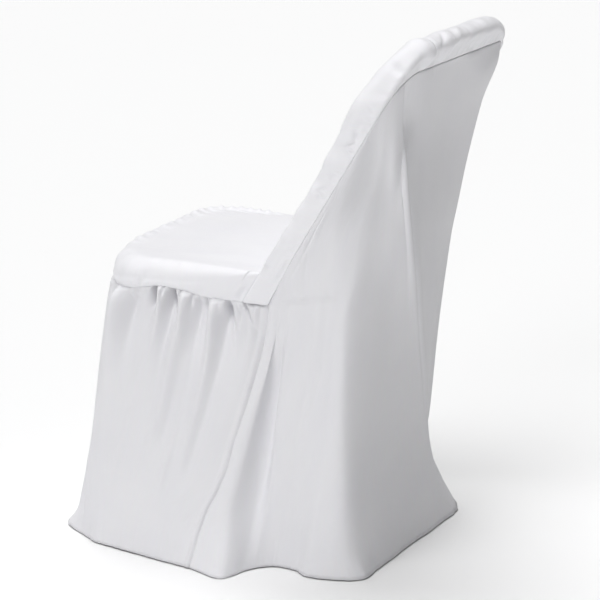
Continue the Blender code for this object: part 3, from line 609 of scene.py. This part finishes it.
def rear_seam(distance):
    """Place on the rear seam in the plane of the slab's rear face, and its outward direction."""
    across, up, out = two_sided(distance, *REAR_SHAPE)
    end = np.minimum(distance, REAR_SEAM_LENGTH - distance)
    taper = (SEAM_HALF_WIDTH - JUNCTION[0]) * np.maximum(0, 1 - end / FOOT_TAPER) ** 2
    return np.stack([across - taper * np.sign(across), up], -1), out


def rear_seam_point(distance):
    place, _ = rear_seam(distance)
    return slab_point(place[..., 0], place[..., 1])


def unit(vectors):
    return vectors / np.maximum(np.linalg.norm(vectors, axis=-1, keepdims=True), 1e-9)


def facing(grid, sign):
    """Directions square to a grid of points; the sign turns them out."""
    return sign * unit(np.cross(np.gradient(grid, axis=1), np.gradient(grid, axis=0)))


def hang(lines, seam_point, share, drop):
    """Grid of points, row by row from the seam down, of a sheet that hangs in given lines."""
    keys = np.array([line[0] for line in lines], float)
    seams = seam_point(np.array([line[1] for line in lines]))
    leans = []
    for (_, _, places), top in zip(lines, seams):
        table = np.vstack([top[[2, 0, 1]], np.array(places) / MILLIMETRES])
        leans.append(curve(table, top[2] * (1 - drop)) - top[:2])
    leans = np.array(leans)
    distance = curve([line[:2] for line in lines], share)[:, 0]
    top = seam_point(distance)
    grid = np.empty((len(drop), len(share), 3))
    for r, t in enumerate(drop):
        grid[r, :, :2] = top[:, :2] + curve(np.column_stack([keys, leans[:, r]]), share)
        grid[r, :, 2] = top[:, 2] * (1 - t)
    return grid, distance


def rows_down(rows, crowding):
    """Shares of a run at each row, which crowd towards its start."""
    t = np.linspace(0, 1, rows + 1)
    return (1 - crowding) * t + crowding * t**2


def bump(distance, width):
    return np.exp(-((distance / width) ** 2))


def pinch(distance, width):
    """A narrow fold with a sharp bottom and wide shoulders."""
    point = np.exp(-np.sqrt((distance / width) ** 2 + PINCH_POINT) * PINCH_FALL)
    return PINCH_SHARE * point + (1 - PINCH_SHARE) * bump(distance, width)


def gathers(folds, at, share, drop, widening=FOLD_WIDENING):
    """Height of a table's gathers at a distance along the seam and a share of the drop."""
    height = np.zeros_like(at)
    for place, depth, width, reach, *lean in folds:
        wider = 1 + widening * np.minimum(share / max(reach, LEAST_REACH), MOST_SPREAD)
        shape = pinch if depth < 0 else bump
        aside = lean[0] * drop if lean else 0
        across = shape(at - place - aside, width * wider)
        height += depth * across * np.exp(-((share / reach) ** 2))
    return height


def crease(u, w, start, end, height, width, far_width):
    """A straight soft ridge, or trough where the height is negative, between two places.

    Its second width is that of its flank on the side further along the seam.
    """
    start, end = np.array(start), np.array(end)
    run = end - start
    length = np.linalg.norm(run)
    along = ((u - start[0]) * run[0] + (w - start[1]) * run[1]) / length
    off = ((u - start[0]) * run[1] - (w - start[1]) * run[0]) / length
    begins = 1 + np.exp(-(along - 2 * width) / width)
    ends = 1 + np.exp((along - length + 2 * width) / width)
    return height * bump(off, np.where(off > 0, far_width, width)) / (begins * ends)


def creases(table, u, w):
    total = np.zeros_like(u)
    for start, end, height, width, *far_width in table:
        total += crease(u, w, start, end, height, width, far_width[0] if far_width else width)
    return total


def slack(u, w, height, stretch, seed, pitch):
    """Even unevenness of slack cloth as a sum of waves of about one pitch."""
    rng = np.random.default_rng(seed)
    total = np.zeros_like(u)
    for _ in range(SLACK_WAVES):
        angle = rng.uniform(0, pi)
        size = pitch * rng.uniform(*SLACK_SIZES)
        turns = (u * cos(angle) + w * stretch * sin(angle)) / size
        total += np.sin(2 * pi * turns + rng.uniform(0, 2 * pi))
    return height * total / SLACK_WAVES**0.5 / SLACK_SOFTNESS


def smooth_step(x):
    x = np.clip(x, 0, 1)
    return x * x * (3 - 2 * x)


def settled(out, shared, distance):
    """Outward directions that turn into the neighbouring panel's towards the shared seam."""
    return unit(shared + (out - shared) * smooth_step(distance / SETTLING)[..., None])


def rear_seam_facing(distance):
    _, out = rear_seam(distance)
    up = out[..., 1]
    level, rise = up * sin(LEAN) + cos(LEAN), up * cos(LEAN) - sin(LEAN)
    return unit(np.stack([out[..., 0], level, rise], -1))


def side_seam_facing(at, length):
    """The direction that the skirt and the back panel share along their two side seams."""
    side = np.where(at < length / 2, 1.0, -1.0)
    return unit(np.stack([side, np.full_like(at, SIDE_SEAM_TO_REAR), np.zeros_like(at)], -1))


def sideways(grid):
    """The direction straight out to the near or the far side."""
    side = np.sign(grid[..., 0])
    return np.stack([side, 0 * side, 0 * side], -1)


def tucked(grid, out, side, depth):
    """Adds rows or columns that turn one edge of a panel in at its seam, beside its neighbour's."""
    axis, at = {"top": (0, 0), "bottom": (0, -1), "left": (1, 0), "right": (1, -1)}[side]
    edge = np.take(grid, at, axis=axis)
    inward = -np.take(out, at, axis=axis)
    turned = [edge + inward * depth * step / TUCK_STEPS for step in range(1, TUCK_STEPS + 1)]
    turned = np.stack(turned if at == -1 else turned[::-1], axis=axis)
    return np.concatenate([grid, turned] if at == -1 else [turned, grid], axis=axis)


def extended(grid, out, at, down, side, depth=TUCK):
    """The tuck at one side of a panel, with the directions and cloth measures that go with it."""
    longer = tucked(grid, out, side, depth)
    more = longer.shape[0] - grid.shape[0], longer.shape[1] - grid.shape[1]
    before = side in ("top", "left")
    pad = [(n, 0) if before else (0, n) for n in more]
    out = np.pad(out, pad + [(0, 0)], mode="edge")
    at = np.pad(at, pad, mode="edge")
    down = np.pad(down, pad, mode="edge")
    step = depth / TUCK_STEPS * np.arange(TUCK_STEPS, 0, -1)
    if side == "top":
        down[:TUCK_STEPS] = -step[:, None]
    if side == "bottom":
        down[-TUCK_STEPS:] += step[::-1, None]
    if side == "left":
        at[:, :TUCK_STEPS] -= step
    if side == "right":
        at[:, -TUCK_STEPS:] += step[::-1]
    return longer, out, at, down


def finished(grid, out, height, at, down, sides, top_tuck=TUCK):
    """The panel with its relief, and turned in at its seams."""
    grid = grid + out * height[..., None]
    for side in sides:
        depth = top_tuck if side == "top" else TUCK
        grid, out, at, down = extended(grid, out, at, down, side, depth)
    return grid, at, down


def rolled(distance, radius=SEAM_ROLL):
    """How far the cloth has sunk where it rounds into a seam, at a distance from the seam."""
    return SEAM_DEPTH * (1 - np.clip(distance / radius, 0, 1)) ** 2


def seam_puckers(along, off, seed, scale=1.0):
    """Small uneven puckers where a long seam draws the cloth up, along the seam and off it."""
    rng = np.random.default_rng(seed)
    total = np.zeros_like(along)
    place = FIRST_PUCKER
    while place < along.max():
        height = rng.uniform(*PUCKER_HEIGHTS) * scale
        width = rng.uniform(*PUCKER_WIDTHS)
        run = rng.uniform(*PUCKER_RUNS)
        slant = rng.uniform(*PUCKER_SLANTS)
        total += height * bump(along - place - slant * off, width) * np.exp(-off / run)
        place += rng.uniform(*PUCKER_STEPS)
    return total


def hem_relief(grid, at, seed):
    """The turned hem: its line of stitching, and the slight waves that the stitching draws."""
    up = np.maximum(run_lengths(grid[::-1])[::-1], 0)
    rng = np.random.default_rng(seed)
    waves = sum(np.sin(2 * pi * at / size + rng.uniform(0, 2 * pi)) for size in HEM_WAVES)
    relief = -STITCH_DEPTH * bump(up - HEM_WIDTH, STITCH_WIDTH)
    relief += HEM_STEP * smooth_step((HEM_WIDTH - up) / HEM_STEP_RUN)
    relief += HEM_WAVE_HEIGHT * waves * np.exp(-up / HEM_WAVE_REACH)
    return relief


def edged(height, grid, at, down, ends, seed, hem_seed):
    """Relief of a hanging panel, with that of its seams and hem."""
    height = height + seam_puckers(at, down, seed) * smooth_step(ends / SEAM_CALM)
    height += seam_puckers(down, ends, *SIDE_PUCKERS) * smooth_step(down / SEAM_CALM)
    height -= rolled(down) + rolled(ends)
    return height + hem_relief(grid, at, hem_seed)


def skirt_relief(at, down, share, ends):
    fuller = 1 + NEAR_FULLNESS * smooth_step((NEAR_END - at) / NEAR_FADE)
    height = fuller * gathers(SKIRT_FOLDS, at, share, down) * (1 - np.exp(-down / GATHER_ONSET))
    pleats = gathers(SKIRT_PLEATS, at, share, down, PLEAT_WIDENING)
    height += pleats * (1 - PLEAT_EASE * np.exp(-down / PUCKER_ONSET))
    height += creases(SKIRT_CREASES, at, down)
    height += slack(at, down, *SKIRT_SLACK) * smooth_step(down / SLACK_ONSET)
    height += seam_puckers(at, down, *PUFF_PUCKERS) * smooth_step(down / SEAM_CALM)
    height += GATHER_PUFF * smooth_step(down / SEAM_CALM) * np.exp(-down / PUFF_REACH)
    height *= smooth_step(ends / END_CALM)
    ridge = bump(ends - RIDGE_PLACE, RIDGE_WIDTH) * smooth_step(ends / RIDGE_WIDTH)
    return height + SIDE_RIDGE * ridge * smooth_step(down / RIDGE_ONSET)


def skirt_panel():
    drop = rows_down(SKIRT_ROWS, SKIRT_ROW_CROWDING)
    share = np.interp(np.linspace(0, 1, SKIRT_COLUMNS + 1), *np.array(SKIRT_CROWDING).T)
    grid, at = hang(SKIRT_LINES, lambda distance: seat_seam(distance)[0], share, drop)
    down = run_lengths(grid)
    share = np.repeat(drop[:, None], grid.shape[1], axis=1)
    at = np.repeat(at[None], grid.shape[0], axis=0)
    out = facing(grid, 1)
    out[..., 2] *= smooth_step(down / LEVEL_REACH)
    out = unit(out)
    ends = np.minimum(at, SEAT_SEAM_LENGTH - at)
    out = settled(out, side_seam_facing(at, SEAT_SEAM_LENGTH), ends)
    out = settled(out, seat_seam(at)[1], down)
    height = skirt_relief(at, down, share, ends)
    height = edged(height, grid, at, down, ends, GATHERED_SEED, SKIRT_HEM_SEED)
    return finished(grid, out, height, at, down, ("top", "left", "right"))


def back_drape():
    drop = rows_down(BACK_ROWS, BACK_ROW_CROWDING)
    share = np.interp(np.linspace(0, 1, BACK_COLUMNS + 1), *np.array(BACK_CROWDING).T)
    grid, at = hang(BACK_LINES, rear_seam_point, share, drop)
    down = run_lengths(grid)
    at = np.repeat(at[None], grid.shape[0], axis=0)
    ends = np.minimum(at, REAR_SEAM_LENGTH - at)
    out = facing(grid, -1)
    out = settled(out, side_seam_facing(at, REAR_SEAM_LENGTH), ends)
    out = settled(out, rear_seam_facing(at), down)
    height = creases(BACK_CREASES, at, down) + slack(at, down, *BACK_SLACK)
    height *= smooth_step(ends / END_CALM) * smooth_step(down / END_CALM)
    height = edged(height, grid, at, down, ends, REAR_SEED, BACK_HEM_SEED)
    return finished(grid, out, height, at, down, ("top", "left", "right"))


def walked(points, distances):
    """Points at distances along a run of points."""
    run = np.concatenate([[0], np.cumsum(np.linalg.norm(np.diff(points, axis=0), axis=1))])
    return np.stack([np.interp(distances, run, points[:, k]) for k in range(3)], -1)


def path_length(points):
    return np.linalg.norm(np.diff(points, axis=0), axis=1).sum()


def spread(column, first, first_rows, last_rows):
    """Points of a column: some rows over its first stretch and the rest over what is left."""
    total = path_length(column)
    if total - first < SHORT_COLUMN:
        first = min(first, SHORT_COLUMN_SHARE * total)
    start = np.linspace(0, first, first_rows, endpoint=False)
    return walked(column, np.concatenate([start, np.linspace(first, total, last_rows + 1)]))


def measures(grid, distances, length, start=0):
    """Distances down each column, along the seam, from its ends, and left to go."""
    at = np.repeat(distances[None], grid.shape[0], axis=0)
    ends = np.minimum(at - start, length - start - at)
    return run_lengths(grid), at, ends, np.maximum(run_lengths(grid[::-1])[::-1], 0)


def quarter_turn():
    return np.linspace(0, pi / 2, CORNER_STEPS + 1)


def seat_column(share, run, seam, out, rim_width, radius, rise):
    """One run up the band from the gathered seam, round the edge and over the top to the crease."""
    close = max(0.0, 1 - min(share, 1 - share) * run / END_TAPER)
    band = SEAT_TOP + rise - seam[2]
    radius = min(radius, MOST_ROUNDING * band) * (1 - close) + LEAST_ROUNDING
    wall = np.linspace(0, band - radius, BAND_STEPS + 1)
    swell = SEAT_BAND_BULGE * (1 - close) * np.sin(pi * wall / wall[-1])
    side = seam + out * swell[:, None] + np.array([0, 0, 1]) * wall[:, None]
    turn = quarter_turn()[1:, None]
    shoulder = side[-1] - out * radius
    top = shoulder + out * radius * np.cos(turn) + np.array([0, 0, radius]) * np.sin(turn)
    column = np.concatenate([side, top])
    column[:, 1] += close * (column[:, 2] - seam[2]) / band * (CREASE_Y - seam[1])
    edge = path_length(column)
    if rise > 0:
        rim = column[-1] - out * rim_width
        column = np.concatenate([column, [[rim[0], rim[1], SEAT_TOP]]])
    end = [CREASE_HALF_WIDTH * (1 - 2 * share), CREASE_Y, SEAT_TOP]
    return spread(np.concatenate([column, [end]]), edge, EDGE_ROWS, TOP_ROWS)


def seat_cushion():
    start = FRONT_SHIFT
    run = SEAT_SEAM_LENGTH - 2 * start
    shares = np.linspace(0, 1, SEAT_COLUMNS + 1)
    distances = start + run * shares
    seams, outs = seat_seam(distances)
    edges = curve(SEAT_EDGES, distances)
    rims = np.clip(RIM_SLOPE * edges[:, 1], LEAST_RIM, RIM_WIDTH)
    for place, tall, width in RIM_PUCKERS:
        edges[:, 1] += tall * bump(distances - place, width)
    columns = [
        seat_column(share, run, seam, out, rim, radius, rise)
        for share, seam, out, rim, (radius, rise) in zip(shares, seams, outs, rims, edges)
    ]
    grid = np.stack(columns, axis=1)
    up, at, ends, left = measures(grid, distances, SEAT_SEAM_LENGTH, start)
    out = settled(facing(grid, -1), sideways(grid), ends)
    out = settled(out, CREASE_FACING, left)
    out = settled(out, seat_seam(at)[1], up)
    height = creases(SEAT_CREASES, at, up)
    height += gathers(SEAT_PUCKERS, at, up / REACH_UNIT, up) * (1 - np.exp(-up / PUCKER_ONSET))
    height += slack(grid[..., 0], grid[..., 1], *SEAT_SLACK) * smooth_step(up / SEAT_SLACK_ONSET)
    band_slack = slack(at, up, *BAND_SLACK) * smooth_step(2 - up / BAND_SLACK_END)
    height += band_slack * smooth_step(up / BAND_SLACK_ONSET)
    height *= smooth_step(left / CREASE_CALM) * smooth_step(ends / SEAT_END_CALM)
    calm = smooth_step(left / PUCKER_CALM) * smooth_step(ends / SEAM_CALM)
    height += seam_puckers(at, up, GATHERED_SEED) * calm
    height -= rolled(up) + rolled(ends) + rolled(left, CREASE_ROLL)
    sides = ("top", "bottom", "left", "right")
    return finished(grid, out, height, at, up, sides, SEAT_TUCK)


def inside_section(place, out, drop, rear, front, slab):
    """One column from the rear seam round the edge of the slab to its front."""
    turn = quarter_turn()
    inward = np.concatenate([[drop], rear - rear * np.sin(turn), front - front * np.cos(turn)])
    over = slab - front + front * np.sin(turn)
    depth = np.concatenate([[0.0], rear - rear * np.cos(turn), over])
    level = out[0] ** 2
    square = np.array([0, -cos(LEAN), sin(LEAN)])
    forward = square * (1 - level) + np.array([0, -1 / cos(LEAN), 0]) * level
    spots = place + out * (drop - inward)[:, None]
    return slab_point(spots[:, 0], spots[:, 1]) + forward * depth[:, None]


def inside_column(distance, low, section):
    """One run from the rear seam round the edge and down the front, and the length of its wrap."""
    seam = section[0]
    past_crease = min(distance, REAR_SEAM_LENGTH - distance) - low
    rise = min(1.0, (seam[2] - JUNCTION[2]) / (SEAT_TOP - JUNCTION[2]))
    x = JUNCTION[0] + (CREASE_HALF_WIDTH - JUNCTION[0]) * rise
    edge = np.array([x if seam[0] > 0 else -x, seam[1] - FRONT_SHIFT, seam[2]])
    pull = (edge - section[-1]) * (1 - min(max(past_crease / END_TAPER, 0), 1)) ** 2
    step = np.linspace(0, 1, len(section))[:, None]
    column = section + pull * step**2
    wrap = path_length(column)
    if past_crease > 0:
        share = (distance - low) / (REAR_SEAM_LENGTH - 2 * low)
        end = [CREASE_HALF_WIDTH * (1 - 2 * share), CREASE_Y, SEAT_TOP]
        column = np.concatenate([column, [end]])
    return spread(column, wrap, WRAP_ROWS, FRONT_ROWS), wrap


def inside_relief(grid, at, inward, wraps):
    height = WRAP_CROWN * np.sin(pi * np.clip(inward / wraps, 0, 1))
    for place, tall, width, reach in BACK_PUCKERS:
        height += tall * bump(at - place, width) * bump(inward, reach)
    height *= 1 - np.exp(-inward / GATHER_ONSET)
    pleats = gathers(WRAP_PLEATS, at, inward / REACH_UNIT, inward)
    height += pleats * (1 - np.exp(-inward / PUCKER_ONSET))
    height += creases(INSIDE_CREASES, at, inward)
    slow = slack(grid[..., 0], grid[..., 2], *INSIDE_SLACK)
    height += slow * smooth_step(inward / SEAT_SLACK_ONSET)
    wrap_slack = slack(at, inward, *WRAP_SLACK) * smooth_step(2 - inward / WRAP_SLACK_END)
    return height + wrap_slack * smooth_step(inward / WRAP_SLACK_ONSET)


def inside_cover():
    low = (SEAT_TOP - JUNCTION[2]) / cos(LEAN)
    distances = REAR_SEAM_LENGTH * np.linspace(0, 1, INSIDE_COLUMNS + 1)
    places, outs = rear_seam(distances)
    runs = [
        inside_column(distance, low, inside_section(place, out, *wrap))
        for distance, place, out, wrap in zip(distances, places, outs, curve(WRAP, distances))
    ]
    grid = np.stack([column for column, _ in runs], axis=1)
    wraps = np.array([wrap for _, wrap in runs])[None]
    inward, at, ends, left = measures(grid, distances, REAR_SEAM_LENGTH)
    foot = ends < low
    shared = np.where(foot[..., None], sideways(grid), CREASE_FACING)
    out = settled(facing(grid, 1), shared, left)
    out = settled(out, sideways(grid), ends)
    out = settled(out, rear_seam_facing(at), inward)
    height = inside_relief(grid, at, inward, wraps) * smooth_step(left / CREASE_CALM)
    calm = smooth_step(left / PUCKER_CALM) * smooth_step(ends / SEAM_CALM)
    height += seam_puckers(at, inward, REAR_SEED) * calm
    last_roll = rolled(left, np.where(foot, SEAM_ROLL, CREASE_ROLL))
    height -= rolled(inward) + rolled(ends) + last_roll
    return finished(grid, out, height, at, inward, ("top", "bottom", "left", "right"))


def panel_object(name, grid, at, down, side, hem):
    """A thin closed sheet on a grid of points, with the cloth's own measures as its UV map."""
    rows, columns = grid.shape[:2]
    mesh = bpy.data.meshes.new(name)
    index = np.arange(rows * columns).reshape(rows, columns)
    corners = [index[:-1, :-1], index[:-1, 1:], index[1:, 1:], index[1:, :-1]]
    quads = np.stack(corners if side > 0 else corners[::-1], -1).reshape(-1, 4)
    points = (grid - np.array(HANG_POINT)).reshape(-1, 3)
    mesh.from_pydata(points.tolist(), [], quads.tolist())
    layer = mesh.uv_layers.new(name="cloth")
    measures = np.stack([at, down], -1).reshape(-1, 2)[quads.reshape(-1)]
    layer.data.foreach_set("uv", measures.astype(np.float32).ravel())
    mesh.shade_smooth()
    panel = bpy.data.objects.new(name, mesh)
    bpy.context.scene.collection.objects.link(panel)
    cloth = panel.modifiers.new("cloth", "SOLIDIFY")
    cloth.offset = -1
    cloth.use_even_offset = False
    cloth.thickness = FABRIC
    if hem:
        up = run_lengths(grid[::-1])[::-1]
        turned = panel.vertex_groups.new(name="hem")
        for vertex in np.nonzero((up < HEM_WIDTH).ravel())[0]:
            turned.add([int(vertex)], 1.0, "REPLACE")
        cloth.thickness = HEM_FABRIC
        cloth.vertex_group = "hem"
        cloth.thickness_vertex_group = FABRIC / HEM_FABRIC
    return panel


def node(tree, kind, vector=None, **values):
    """A shader node with its settings and the values of its sockets, and what feeds its vector."""
    made = tree.nodes.new(kind)
    for key, value in values.items():
        if hasattr(made, key):
            setattr(made, key, value)
        else:
            made.inputs[key.replace("_", " ")].default_value = value
    if vector is not None:
        tree.links.new(vector, made.inputs["Vector"])
    return made


def raised(tree, height, under, strength, distance):
    """Relief from a height, over the relief under it."""
    layer = node(tree, "ShaderNodeBump", Strength=strength, Distance=distance)
    tree.links.new(height, layer.inputs["Height"])
    if under is not None:
        tree.links.new(under, layer.inputs["Normal"])
    return layer.outputs["Normal"]


def weave_height(tree, cloth):
    """Height of a plain weave, as the product of two sets of threads."""
    weave = node(tree, "ShaderNodeMath", operation="MULTIPLY")
    for place, direction in enumerate("XY"):
        threads = node(
            tree, "ShaderNodeTexWave", cloth, wave_type="BANDS", bands_direction=direction,
            Scale=WEAVE_SCALE, Distortion=0.6, Detail=1.0, Detail_Scale=2.0,
        )
        tree.links.new(threads.outputs["Fac"], weave.inputs[place])
    return weave.outputs["Value"]


def polyester(name, tone):
    """White woven polyester: fine plain weave, soft slubs, faint unevenness of tone and sheen."""
    material = bpy.data.materials.new(name)
    material.use_nodes = True
    tree = material.node_tree
    link = tree.links.new
    shader = tree.nodes["Principled BSDF"]
    for socket, value in SHEEN.items():
        shader.inputs[socket].default_value = value
    cloth = node(tree, "ShaderNodeUVMap", uv_map="cloth").outputs["UV"]
    weave = weave_height(tree, cloth)
    long = node(tree, "ShaderNodeMapping", cloth, Scale=SLUB_SCALE).outputs["Vector"]
    slub = node(tree, "ShaderNodeTexNoise", long, Scale=1.0, Detail=2.0)
    cloud = node(tree, "ShaderNodeTexNoise", cloth, Scale=9.0, Detail=3.0)
    rumple = node(tree, "ShaderNodeTexNoise", cloth, Scale=42.0, Detail=4.0, Roughness=0.45)

    # The panel's tone, which is painted light and shade, scales the tinges of the base colour
    tint = node(tree, "ShaderNodeValToRGB")
    for stop, (place, tinge) in zip(tint.color_ramp.elements, TINGES):
        stop.position = place
        stop.color = (*(tone * part for part in tinge), 1)
    link(cloud.outputs["Fac"], tint.inputs["Fac"])
    fine = node(tree, "ShaderNodeMix", data_type="RGBA", blend_type="MULTIPLY", Factor=0.05)
    link(tint.outputs["Color"], fine.inputs["A"])
    link(slub.outputs["Color"], fine.inputs["B"])
    link(fine.outputs["Result"], shader.inputs["Base Color"])

    gloss = node(tree, "ShaderNodeMapRange", To_Min=0.58, To_Max=0.72)
    link(slub.outputs["Fac"], gloss.inputs["Value"])
    link(gloss.outputs["Result"], shader.inputs["Roughness"])

    relief = None
    heights = (weave, slub.outputs["Fac"], rumple.outputs["Fac"])
    for height, (strength, distance) in zip(heights, BUMPS):
        relief = raised(tree, height, relief, strength, distance)
    link(relief, shader.inputs["Normal"])
    return material


def towards(azimuth, elevation):
    """The direction from the cover to a light or a camera, with azimuth 0 at its front."""
    a, e = radians(azimuth), radians(elevation)
    return Vector((sin(a) * cos(e), -cos(a) * cos(e), sin(e)))


def soft_light(name, azimuth, elevation, strength, size):
    """A distant soft light that shines from a direction."""
    data = bpy.data.lights.new(name, "SUN")
    data.energy = strength
    data.angle = radians(size)
    light = bpy.data.objects.new(name, data)
    light.rotation_euler = towards(azimuth, elevation).to_track_quat("Z", "Y").to_euler()
    bpy.context.scene.collection.objects.link(light)


def studio(low_z):
    floor_mesh = bpy.data.meshes.new("floor")
    corners = ((-1, -1), (1, -1), (1, 1), (-1, 1))
    spots = [(FLOOR_REACH * x, FLOOR_REACH * y, 0) for x, y in corners]
    floor_mesh.from_pydata(spots, [], [(0, 1, 2, 3)])
    floor = bpy.data.objects.new("floor", floor_mesh)
    floor.location.z = low_z - FLOOR_GAP
    bpy.context.scene.collection.objects.link(floor)
    paper = bpy.data.materials.new("pale_floor")
    paper.use_nodes = True
    sockets = paper.node_tree.nodes["Principled BSDF"].inputs
    sockets["Base Color"].default_value = (FLOOR_TONE, FLOOR_TONE, FLOOR_TONE, 1)
    sockets["Roughness"].default_value = 0.9
    sockets["Specular IOR Level"].default_value = 0.1
    floor_mesh.materials.append(paper)
    floor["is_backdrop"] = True
    world = bpy.data.worlds.new("studio")
    bpy.context.scene.world = world
    world.use_nodes = True
    background = world.node_tree.nodes["Background"].inputs
    background["Color"].default_value = (0.98, 0.98, 1.0, 1)
    background["Strength"].default_value = WORLD_STRENGTH
    bpy.context.scene.view_settings.view_transform = "Standard"
    for light in LIGHTS:
        soft_light(*light)


def camera():
    """The view of the photograph, found from the cover's outline and seams."""
    back = towards(VIEW_AZIMUTH, VIEW_ELEVATION)
    data = bpy.data.cameras.new("camera")
    data.lens = VIEW_LENS
    data.sensor_width = SENSOR_WIDTH
    data.clip_end = VIEW_DEPTH
    view = bpy.data.objects.new("camera", data)
    view.location = VIEW_TARGET - HANG_POINT + back * VIEW_DISTANCE
    view.rotation_euler = back.to_track_quat("Z", "Y").to_euler()
    bpy.context.scene.collection.objects.link(view)
    bpy.context.scene.camera = view


def main():
    # name, node, points and cloth measures, side of the sheet that shows, turned hem, tone
    # The tones are painted light and shade on one white cloth: lighter for the seat and inside
    # back, darker for the hanging skirt and back panel
    panels = (
        ("seat_cloth", "seat_panel", seat_cushion(), -1, False, 0.87),
        ("skirt_cloth", "skirt", skirt_panel(), 1, True, 0.80),
        ("inside_back_cloth", "inside_back", inside_cover(), 1, False, 0.89),
        ("back_cloth", "back_panel", back_drape(), -1, True, 0.81),
    )
    for name, node_name, (grid, at, down), side, hem, tone in panels:
        panel = panel_object(name, grid, at, down, side, hem)
        panel.data.materials.append(polyester(name + "_polyester", tone))
        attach(panel, "root")
        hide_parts(node_name)
    studio(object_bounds()[0].z)
    camera()


main()
